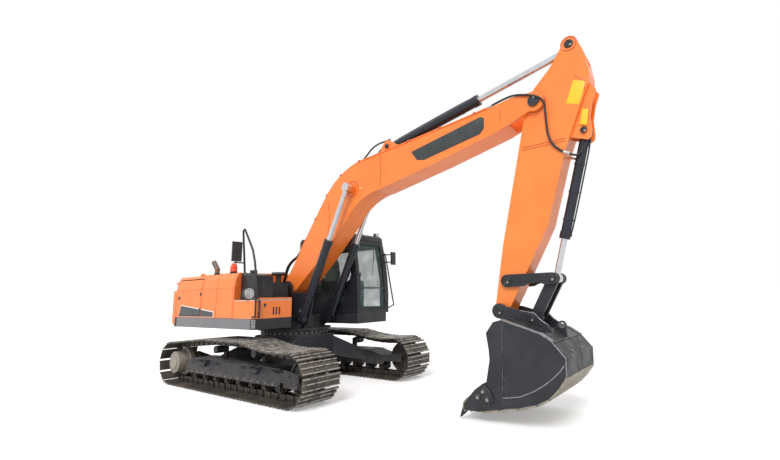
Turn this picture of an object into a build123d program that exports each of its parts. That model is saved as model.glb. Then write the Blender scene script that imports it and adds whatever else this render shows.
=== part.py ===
from build123d import *
from math import asin, atan2, cos, degrees, hypot, radians, sin
import os

os.makedirs("parts", exist_ok=True)

# Crawler excavator of the 22 tonne class, parked with its bucket just off the ground
# Millimetres and degrees, +X forward, +Y to the left, +Z up, ground at Z = 0
# Side outlines are drawn from the swing axis, and boom, arm and bucket from their own pins

# Tracks
track_gauge = 2390
tumbler_distance = 3650
shoe_width = 700
shoe_pitch_aim = 190
pin_circle_radius = 315
link_half_height = 48
shoe_plate = 10
grouser_height = 24
grouser_width = 14
shoe_gap = 5
carrier_spacing = 1200
carrier_pin_height = 808
track_sag = 52
rail_half_gap = 52
rail_thickness = 38
roller_count = 8
roller_radius = 76
roller_flange = 12
carrier_radius = 66
carrier_drop = 12
sprocket_teeth = 21

# Track frames and carbody
frame_width = 410
frame_bottom = 305
frame_top = 520
frame_rear_x = -1430
frame_front_x = 1480
frame_plate = 25
carbody_bottom = 450
carbody_top = 870
carbody_half_length = 640
carbody_half_width = 560
slew_ring_radius = 640
slew_ring_height = 105
slew_ring_width = 120
swivel_radius = 190
swivel_sides = 16
swing_gap = 6

# Upper structure
upper_width = 2710
tail_radius = 2750
deck_bottom = 1065
deck_top = 1245
deck_plate = 30
skirt_plate = 25
house_rear_x = -2130
house_front_x = 30
house_step_x = -500
house_crease_z = 1775
house_top = 2045
house_bend = (0.65, 30)
house_lean = 85
house_wall = 30
centre_half_width = 430
centre_deck_front_x = 480
right_deck_front_x = 700
right_deck_inner_y = -636
tail_corner_x = -2250
counterweight_bottom = 1060
deck_corner = 120
box_top = 1560
box_corner = 40
tank_front_x = 505
tank_side_inset = 120
tank_width = 330
lid_rear_x = 525
lid_side_inset = 85
lid_gap = 5
lid_thickness = 25

# Cab
cab_right_y = 440
cab_rear_x = -480
cab_front_x = 1300
cab_top = 2850
cab_wall = 45
cab_nose = (1300, 1305)
cab_bulge = (1285, 1900)
cab_brow = (1140, 2712)
door_rear_x = -330
door_front_x = 1165
door_bottom = 1300
glass_thickness = 8

# Boom, arm and bucket as parked
boom_foot = (60, 1800)
boom_angle = 24.4
boom_length = 5700
boom_width = 420
boom_knee = (2240, 1244)
boom_knee_depth = 714
arm_angle = -103.5
arm_length = 2900
arm_tail = 790
arm_width = 300
bucket_angle = -109.5
bucket_reach = 1400
bucket_width = 1200
bucket_plate = 25
tooth_count = 5

# Pins, and where each cylinder is held
foot_pin_radius = 60
tip_pin_radius = 52
bucket_pin_radius = 48
link_pin_radius = 40
boom_cylinder_foot = (640, 1190)
boom_rod_pin = (2280, 840)
boom_cylinder_y = 350
arm_cylinder_foot = (3251, 1131)
arm_rod_pin = (-790, 338)
bucket_cylinder_foot = (392, 701)
guide_pivot = (-410, 20)
guide_upper_pin = (-565, 611)
bucket_link_pin = (-11, 451)

# Clearances
pin_clearance = 1
rod_clearance = 2
side_clearance = 10
panel_gap = 6

# How many sides stand for a thin round bar
bar_sides = 20

# Worked out from the sizes above
half_gauge = track_gauge / 2
shoe_height = link_half_height + shoe_plate + grouser_height
wheel_z = pin_circle_radius + shoe_height
rail_z = shoe_height + link_half_height
half_base = tumbler_distance / 2
half_width = upper_width / 2
swing_z = carbody_top + slew_ring_height + swing_gap
right_and_left = ((-1, "right"), (1, "left"))


def along(start, angle, distance, rise=0):
    """The point at a distance along a line that leaves start at an angle, and rise off it."""
    turn = radians(angle)
    return (
        start[0] + distance * cos(turn) - rise * sin(turn),
        start[1] + distance * sin(turn) + rise * cos(turn),
    )


def heading(start, end):
    """The angle of the line from start to end, and its length."""
    run, rise = end[0] - start[0], end[1] - start[1]
    return degrees(atan2(rise, run)), hypot(run, rise)


arm_pivot = along(boom_foot, boom_angle, boom_length)
bucket_pivot = along(arm_pivot, arm_angle, arm_length)

# The arm's cylinder bracket reaches furthest forward, and the tail furthest back
bracket_peak = (-150, 768)
front_reach = along(arm_pivot, arm_angle, *bracket_peak)[0]
slew_x = (tail_radius - front_reach) / 2


def side_plane(y, x=0, z=0, angle=0):
    """A plane seen from the right, at y, drawn from the point x, z and turned by angle."""
    turn = radians(angle)
    return Plane(origin=(slew_x + x, y, z), x_dir=(cos(turn), 0, sin(turn)), z_dir=(0, -1, 0))


def top_plane(z):
    """A level plane at height z, drawn from the swing axis."""
    return Plane(origin=(slew_x, 0, z))


def cross_plane(x):
    """A plane across the machine at x, drawn as Y to the right and Z up."""
    return Plane(origin=(slew_x + x, 0, 0), x_dir=(0, 1, 0), z_dir=(1, 0, 0))


def line_plane(y, start, angle, distance):
    """A plane square to a line in the side view, at a distance along it."""
    x, z = along(start, angle, distance)
    turn = radians(angle)
    return Plane(origin=(slew_x + x, y, z), x_dir=(0, 1, 0), z_dir=(cos(turn), 0, sin(turn)))


def disc(y, place, radius, width, mode=Mode.ADD):
    """A round boss, pin or bore across the machine, centred at y."""
    with BuildSketch(side_plane(y, *place)) as outline:
        Circle(radius)
    extrude(outline.sketch, amount=width / 2, both=True, mode=mode)


def block(x0, x1, y0, y1, z0, z1, mode=Mode.ADD):
    """A box between these places, x from the swing axis."""
    with BuildSketch(top_plane(z0)) as outline:
        with Locations(((x0 + x1) / 2, (y0 + y1) / 2)):
            Rectangle(x1 - x0, abs(y1 - y0))
    extrude(outline.sketch, amount=z1 - z0, mode=mode)


def slab(plane, corners, width, mode=Mode.ADD):
    """A plate with these corners, centred on the plane."""
    with BuildSketch(plane) as outline:
        with BuildLine():
            Polyline(*corners, close=True)
        make_face()
    extrude(outline.sketch, amount=width / 2, both=True, mode=mode)


def tube(points, radius, bend):
    """A round bar along these places from the swing axis, its corners bent round."""
    with BuildLine() as line:
        FilletPolyline(*[(slew_x + x, y, z) for x, y, z in points], radius=bend)
    path = line.wire()
    with BuildSketch(Plane(origin=path @ 0, z_dir=path % 0)) as section:
        Circle(radius)
    sweep(section.sketch, path=path)


def prism(y, place, radius, width, sides):
    """A roller with a plain many-sided tread, centred at y."""
    with BuildSketch(side_plane(y, *place)) as outline:
        RegularPolygon(radius, sides)
    extrude(outline.sketch, amount=width / 2, both=True)


def mitred_bar(points, radius):
    """A bar or pipe along these places from the swing axis, cut and joined at its corners."""
    with BuildLine() as line:
        Polyline(*[(slew_x + x, y, z) for x, y, z in points])
    path = line.wire()
    with BuildSketch(Plane(origin=path @ 0, z_dir=path % 0)) as section:
        RegularPolygon(radius, bar_sides)
    sweep(section.sketch, path=path, transition=Transition.RIGHT)


def save(piece, name):
    """Label the finished piece and write it under its own name."""
    piece.part.label = name
    export_step(piece.part, f"parts/{name}.step")


# Tracks: closed loops of linked pins, with a flat shoe between each two pins
def track_pins():
    """The pins' places in the side view, in order round the loop."""
    top = pin_circle_radius
    carrier_rise = carrier_pin_height - wheel_z
    front_top = (half_base, top)
    front_carrier = (carrier_spacing / 2, carrier_rise)
    rear_carrier = (-carrier_spacing / 2, carrier_rise)
    sag_middle = ((front_top[0] + front_carrier[0]) / 2, (top + carrier_rise) / 2 - track_sag)
    with BuildLine() as loop:
        CenterArc((half_base, 0), pin_circle_radius, -90, 180)
        ThreePointArc(front_top, sag_middle, front_carrier)
        Line(front_carrier, rear_carrier)
        Line(rear_carrier, (-half_base, top))
        CenterArc((-half_base, 0), pin_circle_radius, 90, 180)
        Line((-half_base, -top), (half_base, -top))
    wire = loop.wire()
    count = round(wire.length / shoe_pitch_aim)
    places = [wire.position_at(i / count) for i in range(count)]
    pins = [(place.X, place.Y + wheel_z) for place in places]
    turns = sum(a[0] * b[1] - b[0] * a[1] for a, b in zip(pins, pins[1:] + pins[:1]))
    return pins if turns > 0 else pins[::-1]


def offset_corner(before, pin, after, height):
    """The corner of the loop's outline at a pin, height outside the pin line."""
    inward, _ = heading(before, pin)
    outward, _ = heading(pin, after)
    bend = (outward - inward + 180) % 360 - 180
    return along(pin, inward + bend / 2, 0, -height / cos(radians(bend / 2)))


def loop_outline(pins, height):
    """The loop's outline at one height outside the pin line."""
    count = len(pins)
    return [offset_corner(pins[i - 1], pins[i], pins[(i + 1) % count], height) for i in range(count)]


def shoe_outline(pins):
    """The loop's outer outline, with three grousers on each shoe."""
    points = []
    plate = link_half_height + shoe_plate
    count = len(pins)
    for i in range(count):
        start, end = pins[i], pins[(i + 1) % count]
        angle, pitch = heading(start, end)
        points.append(offset_corner(pins[i - 1], start, end, plate - 6))
        first = shoe_gap
        last = pitch - shoe_gap - grouser_width
        for place in (first, (first + last) / 2, last):
            ends = (place, place + grouser_width)
            feet = [x for x in (place - 7, place + grouser_width + 7) if shoe_gap < x < pitch - shoe_gap]
            outline = [(x, shoe_height) for x in ends] + [(x, plate) for x in feet]
            points += [along(start, angle, x, -rise) for x, rise in sorted(outline)]
    return points


pins = track_pins()
for side, side_name in right_and_left:
    with BuildPart() as track:
        with BuildSketch(side_plane(side * half_gauge)):
            with BuildLine():
                Polyline(*shoe_outline(pins), close=True)
            make_face()
            with BuildLine():
                Polyline(*loop_outline(pins, link_half_height), close=True)
            make_face(mode=Mode.SUBTRACT)
        extrude(amount=shoe_width / 2, both=True)
        rail_y = rail_half_gap + rail_thickness / 2
        for y in (side * half_gauge - rail_y, side * half_gauge + rail_y):
            with BuildSketch(side_plane(y)):
                with BuildLine():
                    Polyline(*loop_outline(pins, link_half_height), close=True)
                make_face()
                with BuildLine():
                    Polyline(*loop_outline(pins, -link_half_height), close=True)
                make_face(mode=Mode.SUBTRACT)
            extrude(amount=rail_thickness / 2, both=True)
    save(track, f"track_{side_name}")

# Sprockets at the rear, each round its final drive and travel motor
pitch_angle = 2 * asin(shoe_pitch_aim / 2 / pin_circle_radius)
tread_radius = pin_circle_radius * cos(pitch_angle / 2) - link_half_height
drive_radius = 200
drive_face = 235
motor_inner = frame_width / 2
tooth_tip = pin_circle_radius + 10
tooth_root = tread_radius + 10
sprocket_half_width = rail_half_gap - side_clearance
sprocket_place = (-half_base, wheel_z)
for side, side_name in right_and_left:
    centre_y = side * half_gauge
    with BuildPart() as sprocket:
        with BuildSketch(side_plane(centre_y, *sprocket_place)):
            Circle(tooth_root)
            with PolarLocations(0, sprocket_teeth):
                with BuildLine():
                    Polyline(
                        (tooth_root - 8, -26),
                        (tooth_tip, -10),
                        (tooth_tip, 10),
                        (tooth_root - 8, 26),
                        close=True,
                    )
                make_face()
        extrude(amount=sprocket_half_width, both=True)
        disc(centre_y + side * drive_face / 2, sprocket_place, drive_radius, drive_face)
        disc(centre_y + side * (drive_face + 10), sprocket_place, drive_radius * 0.62, 20)
        disc(centre_y - side * motor_inner / 2, sprocket_place, drive_radius * 0.8, motor_inner)
    save(sprocket, f"sprocket_{side_name}")

# Idlers at the front, a flanged wheel whose rim runs between the link rails
rim_radius = pin_circle_radius - 30
shaft_radius = 70
hub_radius = 95
web_depth = 30
for side, side_name in right_and_left:
    centre_y = side * half_gauge
    with BuildPart() as idler:
        half = rail_half_gap + rail_thickness
        shaft = frame_width / 2 - frame_plate
        profile = [
            (0, shaft), (shaft_radius, shaft), (shaft_radius, half), (hub_radius, half),
            (hub_radius, half - web_depth), (tread_radius - 45, half - web_depth), (tread_radius - 30, half),
            (tread_radius, half), (tread_radius, sprocket_half_width), (rim_radius, sprocket_half_width),
        ]
        profile += [(radius, -place) for radius, place in reversed(profile)]
        centre = (slew_x + half_base, centre_y, wheel_z)
        with BuildSketch(Plane(origin=centre, x_dir=(0, 0, 1), z_dir=(1, 0, 0))):
            with BuildLine():
                Polyline(*profile, close=True)
            make_face()
        revolve(axis=Axis(centre, (0, 1, 0)))
    save(idler, f"idler_{side_name}")

# Bottom and carrier rollers with their shaft blocks
roller_half = rail_half_gap + rail_thickness + 6
roller_block = 32
roller_sides = 18
roller_z = rail_z + roller_radius
roller_first = frame_rear_x + 190
roller_last = frame_front_x - 150
roller_step = (roller_last - roller_first) / (roller_count - 1)
carrier_z = carrier_pin_height - link_half_height - carrier_radius - carrier_drop
for side, side_name in right_and_left:
    centre_y = side * half_gauge
    with BuildPart() as rollers:
        for i in range(roller_count):
            place = (roller_first + i * roller_step, roller_z)
            prism(centre_y, place, roller_radius, 2 * roller_half, roller_sides)
            prism(centre_y, place, roller_radius + roller_flange, 2 * sprocket_half_width, roller_sides)
            for face in (-1, 1):
                near = centre_y + face * roller_half
                far = near + face * roller_block
                block(
                    place[0] - 48, place[0] + 48, min(near, far), max(near, far), roller_z - 42, frame_bottom
                )
        for x in (-carrier_spacing / 2, carrier_spacing / 2):
            prism(centre_y, (x, carrier_z), carrier_radius, 2 * roller_half, roller_sides)
            near = centre_y - side * roller_half
            far = near - side * 45
            block(x - 50, x + 50, min(near, far), max(near, far), frame_top, carrier_z + 45)
    save(rollers, f"rollers_{side_name}")

# Track frames: box beams with a yoke for the idler and a plate for the travel motor
yoke_z = (wheel_z - 75, wheel_z + 75)
for side, side_name in right_and_left:
    centre_y = side * half_gauge
    outer_y = centre_y + side * frame_width / 2
    inner_y = centre_y - side * frame_width / 2
    with BuildPart() as track_frame:
        slab(
            side_plane(centre_y),
            [
                (frame_rear_x, frame_bottom),
                (frame_front_x, frame_bottom),
                (frame_front_x, frame_top - 90),
                (frame_front_x - 420, frame_top),
                (frame_rear_x + 260, frame_top),
                (frame_rear_x, frame_top - 70),
            ],
            frame_width,
        )
        # Skirts down each side, over the roller shafts
        for y in (outer_y - side * frame_plate / 2, inner_y + side * frame_plate / 2):
            slab(
                side_plane(y),
                [
                    (frame_rear_x + 60, frame_bottom),
                    (frame_rear_x + 90, frame_bottom - 50),
                    (frame_front_x - 60, frame_bottom - 50),
                    (frame_front_x, frame_bottom),
                ],
                frame_plate,
            )
        # Yoke plates either side of the idler
        for y in (outer_y - side * frame_plate / 2, inner_y + side * frame_plate / 2):
            slab(
                side_plane(y),
                [
                    (frame_front_x, yoke_z[0]),
                    (half_base + 90, yoke_z[0] + 20),
                    (half_base + 90, yoke_z[1] - 20),
                    (frame_front_x, yoke_z[1] - 20),
                ],
                frame_plate,
            )
        # Rear plate that the travel motor is bolted to, on the inner side
        slab(
            side_plane(inner_y - side * frame_plate / 2),
            [
                (frame_rear_x + 150, frame_bottom),
                (frame_rear_x + 150, frame_top - 20),
                (-half_base, wheel_z + 165),
                (-half_base - 165, wheel_z + 60),
                (-half_base - 165, wheel_z - 60),
                (-half_base, wheel_z - 165),
            ],
            frame_plate,
        )
        # Two step pads on the outer side
        for x in (-700, 880):
            block(x - 110, x + 110, min(outer_y, outer_y + side * 70), max(outer_y, outer_y + side * 70),
                  frame_top - 75, frame_top - 50)
    save(track_frame, f"track_frame_{side_name}")

# Carbody: a centre box with four tapered legs to the track frames
leg_end_y = half_gauge - frame_width / 2
leg_end = (730, 415)
tongue_rise = 60
tongue_reach = 130
tongue_plate = 50
tongue_eye = 32
with BuildPart() as carbody:
    with BuildSketch(top_plane(carbody_bottom)):
        Rectangle(2 * carbody_half_length, 2 * carbody_half_width)
        chamfer(vertices(), 130)
    extrude(amount=carbody_top - carbody_bottom)
    with BuildSketch(side_plane(carbody_half_width - 160)):
        with Locations((410, (carbody_bottom + carbody_top) / 2)):
            Rectangle(420, carbody_top - carbody_bottom - 40)
    with BuildSketch(side_plane(leg_end_y)):
        with Locations(leg_end):
            Rectangle(460, 210)
    loft()
    mirror(about=Plane(origin=(slew_x, 0, 0), z_dir=(1, 0, 0)))
    mirror(about=Plane.XZ)
    # Open centre for the swivel joint
    with BuildSketch(top_plane(carbody_bottom)):
        RegularPolygon(swivel_radius, swivel_sides)
    extrude(amount=carbody_top - carbody_bottom, mode=Mode.SUBTRACT)
    # Towing tongues at front and rear, each with an upright hole
    for end in (-1, 1):
        with BuildSketch(top_plane(carbody_bottom + tongue_rise)):
            with Locations((end * (carbody_half_length + tongue_reach / 2), 0)):
                RectangleRounded(tongue_reach + 60, 2 * tongue_eye + 90, 30)
            with Locations((end * (carbody_half_length + tongue_reach - tongue_eye - 20), 0)):
                Circle(tongue_eye, mode=Mode.SUBTRACT)
        extrude(amount=tongue_plate)
save(carbody, "carbody")

# Slewing ring between carbody and upper frame
with BuildPart() as slew_ring:
    with BuildSketch(top_plane(carbody_top)):
        Circle(slew_ring_radius)
        Circle(slew_ring_radius - slew_ring_width, mode=Mode.SUBTRACT)
    extrude(amount=slew_ring_height)
save(slew_ring, "slew_ring")

# Upper frame: deck with skirts, bearing plate and the two plates that hold the boom
bearing_sides = 32
bracket_plate = 35
bracket_y = boom_width / 2 + 20 + bracket_plate / 2


def deck_outline():
    """The deck seen from above, in the sketch that is open."""
    with BuildLine() as line:
        Polyline(
            (cab_front_x, half_width - deck_corner),
            (cab_front_x, cab_right_y),
            (centre_deck_front_x, cab_right_y),
            (centre_deck_front_x, right_deck_inner_y),
            (right_deck_front_x, right_deck_inner_y),
            (right_deck_front_x, -half_width),
            (house_rear_x, -half_width),
            (house_rear_x, half_width),
            (cab_front_x - deck_corner, half_width),
        )
        TangentArc(
            (cab_front_x - deck_corner, half_width), (cab_front_x, half_width - deck_corner), tangent=(1, 0)
        )
    make_face(line.edges())


with BuildPart() as upper_frame:
    with BuildSketch(top_plane(deck_bottom)):
        deck_outline()
    extrude(amount=deck_top - deck_bottom)
    with BuildSketch(top_plane(deck_bottom)):
        deck_outline()
        offset(amount=-skirt_plate, mode=Mode.REPLACE)
    extrude(amount=deck_top - deck_bottom - deck_plate, mode=Mode.SUBTRACT)
    # Bearing plate over the slewing ring
    with BuildSketch(top_plane(swing_z)):
        RegularPolygon(slew_ring_radius + 60, bearing_sides)
    extrude(amount=deck_plate)
    with BuildSketch(top_plane(swing_z)):
        RegularPolygon(slew_ring_radius - 60, bearing_sides)
        RegularPolygon(swivel_radius, swivel_sides, mode=Mode.SUBTRACT)
    extrude(amount=deck_top - swing_z)
    for y in (-bracket_y, bracket_y):
        # Longitudinal beam and boom bracket in one plate
        slab(
            side_plane(y),
            [
                (house_rear_x, deck_bottom - 40),
                (-900, swing_z),
                (centre_deck_front_x, swing_z),
                (boom_cylinder_foot[0] - 20, boom_cylinder_foot[1] - 105),
                (boom_cylinder_foot[0] + 75, boom_cylinder_foot[1] - 65),
                (boom_cylinder_foot[0] + 105, boom_cylinder_foot[1] + 40),
                (boom_cylinder_foot[0] + 200, boom_foot[1] - 190),
                (boom_cylinder_foot[0] + 185, boom_foot[1] - 130),
                (boom_foot[0] + 140, boom_foot[1] - 115),
                (boom_foot[0] + 115, boom_foot[1] + 40),
                (boom_foot[0] + 50, boom_foot[1] + 110),
                (boom_foot[0] - 60, boom_foot[1] + 110),
                (boom_foot[0] - 120, boom_foot[1] + 40),
                (house_step_x + 60, deck_top + 60),
                (house_step_x + 30, deck_top),
                (house_rear_x, deck_top),
            ],
            bracket_plate,
        )
    disc(0, boom_foot, foot_pin_radius, 2 * bracket_y)
    # Boom cylinder pins stand out of the bracket plates
    for side in (-1, 1):
        pin_end = boom_cylinder_y + 62
        disc(side * (bracket_y + pin_end) / 2, boom_cylinder_foot, 45, pin_end - bracket_y)
        disc(side * (pin_end + 4), boom_cylinder_foot, 53, 8)
save(upper_frame, "upper_frame")

# Counterweight: cast block in the house's own section, with its tail on the swing radius
lifting_eye_y = 700
lifting_eye_x = house_rear_x - 260
house_bend_z = house_crease_z + house_bend[0] * (house_top - house_crease_z)


def tail_outline(inset):
    """The counterweight seen from above, run on into the house, in the sketch that is open."""
    edge = half_width - inset
    with BuildLine() as line:
        Polyline(
            (tail_corner_x, edge), (house_rear_x / 2, edge), (house_rear_x / 2, -edge), (tail_corner_x, -edge)
        )
        ThreePointArc((tail_corner_x, -edge), (inset - tail_radius, 0), (tail_corner_x, edge))
    make_face(line.edges())


with BuildPart() as counterweight:
    for z0, z1, inset, lean in (
        (counterweight_bottom, house_crease_z, 0, 0),
        (house_crease_z, house_bend_z, 0, house_bend[1]),
        (house_bend_z, house_top, house_bend[1], house_lean - house_bend[1]),
    ):
        with BuildSketch(top_plane(z0)):
            tail_outline(inset)
        extrude(amount=z1 - z0, taper=degrees(atan2(lean, z1 - z0)))
    block(house_rear_x, 0, -upper_width, upper_width, 0, 2 * house_top, mode=Mode.SUBTRACT)
    chamfer(counterweight.faces().sort_by(Axis.Z)[0].edges().sort_by(Axis.X)[0], length=100)
    for y in (-lifting_eye_y, lifting_eye_y):
        with BuildSketch(side_plane(y, lifting_eye_x, house_top)):
            with Locations((0, 45)):
                Rectangle(150, 150)
                chamfer(vertices(), 40)
            with Locations((0, 60)):
                Circle(30, mode=Mode.SUBTRACT)
        extrude(amount=25, both=True)
save(counterweight, "counterweight")

# Engine house: one folded shell with openings for the hood and the two side doors
side_door = (house_rear_x + 60, -1130)
side_door_z = (deck_top + 50, house_top - 60)
hood_hole = (house_rear_x + 90, -920, -790, 860)


def house_section(inset, mode=Mode.ADD):
    """Cross-section of the house, its sides bent twice towards the roof, inset from its outer face."""
    edge = half_width - inset
    half = [
        (edge, deck_top), (edge, house_crease_z), (edge - house_bend[1], house_bend_z),
        (edge - house_lean, house_top - inset),
    ]
    with BuildLine() as line:
        Polyline(*half, *[(-y, z) for y, z in reversed(half)], close=True)
    make_face(line.edges(), mode=mode)


with BuildPart() as engine_house:
    with BuildSketch(cross_plane(house_rear_x)):
        house_section(0)
    extrude(amount=house_front_x - house_rear_x)
    block(house_step_x, house_front_x, -centre_half_width - side_clearance, half_width, deck_top, house_top,
          mode=Mode.SUBTRACT)
    # Hollow behind the boom, and beside it on the right
    with BuildSketch(cross_plane(house_rear_x + house_wall)):
        house_section(house_wall)
    extrude(amount=house_step_x - house_rear_x - 2 * house_wall, mode=Mode.SUBTRACT)
    with BuildSketch(cross_plane(house_step_x - house_wall)):
        house_section(house_wall)
        with Locations((half_width - centre_half_width - side_clearance - house_wall, house_crease_z)):
            Rectangle(upper_width, 2 * house_top, mode=Mode.SUBTRACT)
    extrude(amount=house_front_x - house_step_x, mode=Mode.SUBTRACT)
    for y in (-half_width, half_width):
        block(side_door[0] - panel_gap, side_door[1] + panel_gap, y - 150, y + 150,
              side_door_z[0] - panel_gap, side_door_z[1] + panel_gap, mode=Mode.SUBTRACT)
    block(*hood_hole, house_top - 2 * house_wall, house_top + house_wall, mode=Mode.SUBTRACT)
save(engine_house, "engine_house")

# Side doors, each a length of the house wall
for side, name in ((-1, "pump_door"), (1, "radiator_door")):
    with BuildPart() as side_door_panel:
        with BuildSketch(cross_plane(side_door[0])):
            house_section(0)
            house_section(house_wall, mode=Mode.SUBTRACT)
            with Locations((-side * half_width, house_crease_z)):
                Rectangle(upper_width + 2 * half_width - house_lean, 4 * house_top, mode=Mode.SUBTRACT)
        extrude(amount=side_door[1] - side_door[0])
        block(*side_door, -upper_width, upper_width, 0, side_door_z[0], mode=Mode.SUBTRACT)
        block(*side_door, -upper_width, upper_width, side_door_z[1], 2 * house_top, mode=Mode.SUBTRACT)
    save(side_door_panel, name)

# Engine hood: a shallow pan over the opening in the roof
hood_overlap = 50
hood_height = 65
hood_z = house_top + 5
with BuildPart() as engine_hood:
    block(hood_hole[0] - hood_overlap, hood_hole[1] + hood_overlap, hood_hole[2] - hood_overlap,
          hood_hole[3] + hood_overlap, hood_z, hood_z + hood_height)
    chamfer(engine_hood.faces().sort_by(Axis.Z)[-1].edges(), length=30)
    block(hood_hole[0], hood_hole[1], hood_hole[2], hood_hole[3], hood_z, hood_z + hood_height - 20,
          mode=Mode.SUBTRACT)
save(engine_hood, "engine_hood")

# Engine, a plain block on its mounts across the house
with BuildPart() as engine:
    block(-1900, -1180, -450, 650, deck_top + 60, deck_top + 640)
    for x in (-1820, -1260):
        for y in (-380, 580):
            block(x - 45, x + 45, y - 45, y + 45, deck_top, deck_top + 60)
save(engine, "engine")

# Storage box low on the right, with its lid at the front and the tank behind
box_rear_x = house_front_x + panel_gap
lid_outer_y = lid_side_inset - half_width
lid_overlap = 15
with BuildPart() as storage_box:
    with BuildSketch(top_plane(deck_top)):
        with BuildLine():
            Polyline(
                (right_deck_front_x, box_corner - half_width),
                (right_deck_front_x, right_deck_inner_y),
                (box_rear_x, right_deck_inner_y),
                (box_rear_x, -half_width),
                (right_deck_front_x - box_corner, -half_width),
            )
            TangentArc(
                (right_deck_front_x - box_corner, -half_width), (right_deck_front_x, box_corner - half_width),
                tangent=(1, 0),
            )
        make_face()
    extrude(amount=box_top - deck_top)
    block(lid_rear_x + lid_overlap, right_deck_front_x - lid_overlap, lid_outer_y + lid_overlap,
          right_deck_inner_y - lid_overlap, deck_top + house_wall, box_top, mode=Mode.SUBTRACT)
save(storage_box, "storage_box")

with BuildPart() as storage_lid:
    block(lid_rear_x, right_deck_front_x, lid_outer_y, right_deck_inner_y, box_top + lid_gap,
          box_top + lid_gap + lid_thickness)
save(storage_lid, "storage_lid")

# Tank with a sloped top and a filler neck
tank_outer_y = tank_side_inset - half_width
tank_middle_y = tank_outer_y + tank_width / 2
tank_top = (house_top, house_top - 60)
filler_place = (box_rear_x + 110, tank_middle_y)
tank_side = [
    (box_rear_x, box_top), (tank_front_x, box_top), (tank_front_x, tank_top[1]), (box_rear_x, tank_top[0]),
]
with BuildPart() as tank:
    slab(side_plane(tank_middle_y), tank_side, tank_width)
    chamfer(tank.faces().sort_by(Axis.Z)[-1].edges().filter_by(Axis.Y, reverse=True), length=28)
    with BuildSketch(top_plane(tank_top[1])):
        with Locations(filler_place):
            RegularPolygon(62, 16)
    extrude(amount=105)
save(tank, "tank")

# Air cleaner beside the tank, with a round precleaner cap on its column
cleaner_x = (60, 394)
cleaner_y = (-832, -500)
cleaner_top = 1870
cap_place = (250, -610)
cap_radius = 130
with BuildPart() as air_cleaner:
    with BuildSketch(cross_plane(cleaner_x[0])):
        with BuildLine():
            Polyline(
                (cleaner_y[0], box_top),
                (cleaner_y[0], cleaner_top),
                (cleaner_y[1] - 98, cleaner_top),
                (cleaner_y[1], cleaner_top - 60),
                (cleaner_y[1], deck_top),
                (right_deck_inner_y + 5, deck_top),
                (right_deck_inner_y + 5, box_top),
                close=True,
            )
        make_face()
    extrude(amount=cleaner_x[1] - cleaner_x[0])
    for radius, z0, z1 in ((48, cleaner_top - 60, 2025), (cap_radius, 2020, 2060)):
        with BuildSketch(top_plane(z0)):
            with Locations(cap_place):
                Circle(radius)
        extrude(amount=z1 - z0)
save(air_cleaner, "air_cleaner")

# Handrail from the tank's top down to the corner of the storage box
rail_radius = 18
rail_bend = 60
with BuildPart() as handrail_right:
    tube(
        [
            (box_rear_x + rail_radius + 4, tank_outer_y + 45, tank_top[0] - 12),
            (-15, tank_outer_y + 5, 2945),
            (454, 55 - half_width, 2418),
            (541, 49 - half_width, 2200),
            (645, 43 - half_width, 1745),
            (right_deck_front_x - 12 - rail_radius, 43 - half_width, box_top - 3),
        ],
        rail_radius, rail_bend,
    )
    # Both feet end on the faces they stand on
    slab(side_plane(tank_middle_y), tank_side, tank_width, mode=Mode.SUBTRACT)
    block(0, right_deck_front_x, -half_width, right_deck_inner_y, deck_top, box_top, mode=Mode.SUBTRACT)
save(handrail_right, "handrail_right")

# Exhaust: a cranked pipe on a foot plate, on the roof beside the hood
exhaust_y = -960
exhaust_radius = 48
exhaust_foot_x = -1320
with BuildPart() as exhaust:
    mitred_bar([(exhaust_foot_x, exhaust_y, house_top), (exhaust_foot_x, exhaust_y, house_top + 150),
                (exhaust_foot_x - 154, exhaust_y, house_top + 305)], exhaust_radius)
    block(exhaust_foot_x - 75, exhaust_foot_x + 75, exhaust_y - 75, exhaust_y + 75, house_top, house_top + 14)
save(exhaust, "exhaust")

# Warning lamp on its round stand
beacon_place = (-640, -1000)
with BuildPart() as beacon:
    for radius, z, height, taper in ((65, house_top, 163, 0), (56, house_top + 163, 61, 12)):
        with BuildSketch(top_plane(z)):
            with Locations(beacon_place):
                Circle(radius)
        extrude(amount=height, taper=taper)
save(beacon, "beacon")

# Cab: a welded shell with a leaning front, and its windows cut through
sill_z = 1462
door_top = cab_top - 190


def cab_outline():
    """Side outline of the cab with its bowed front, in the sketch that is open."""
    with BuildLine() as line:
        Polyline(
            cab_brow,
            (cab_brow[0] - 5, cab_top - 55),
            (cab_brow[0] - 60, cab_top),
            (cab_rear_x + 60, cab_top),
            (cab_rear_x, cab_top - 60),
            (cab_rear_x, deck_top),
            (cab_front_x, deck_top),
            cab_nose,
        )
        ThreePointArc(cab_nose, cab_bulge, cab_brow)
    make_face(line.edges())


def door_outline(inset):
    """Side outline of the door, in the sketch that is open."""
    with BuildLine() as line:
        Polyline(
            (door_rear_x + inset, door_bottom + inset),
            (door_front_x - inset, door_bottom + inset),
            (door_front_x - inset, deck_top + 655),
            (cab_brow[0] - 110 - inset, door_top - inset),
            (door_rear_x + inset, door_top - inset),
            close=True,
        )
    make_face(line.edges())


def side_window():
    """Outline of the window on the boom's side, in the sketch that is open."""
    with BuildLine() as line:
        Polyline(
            (cab_rear_x + 140, sill_z),
            (890, sill_z),
            (945, sill_z + 70),
            (962, sill_z + 387),
            (1122, sill_z + 478),
            (1042, cab_top - 200),
            (cab_rear_x + 140, cab_top - 200),
            close=True,
        )
    make_face(line.edges())


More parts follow.
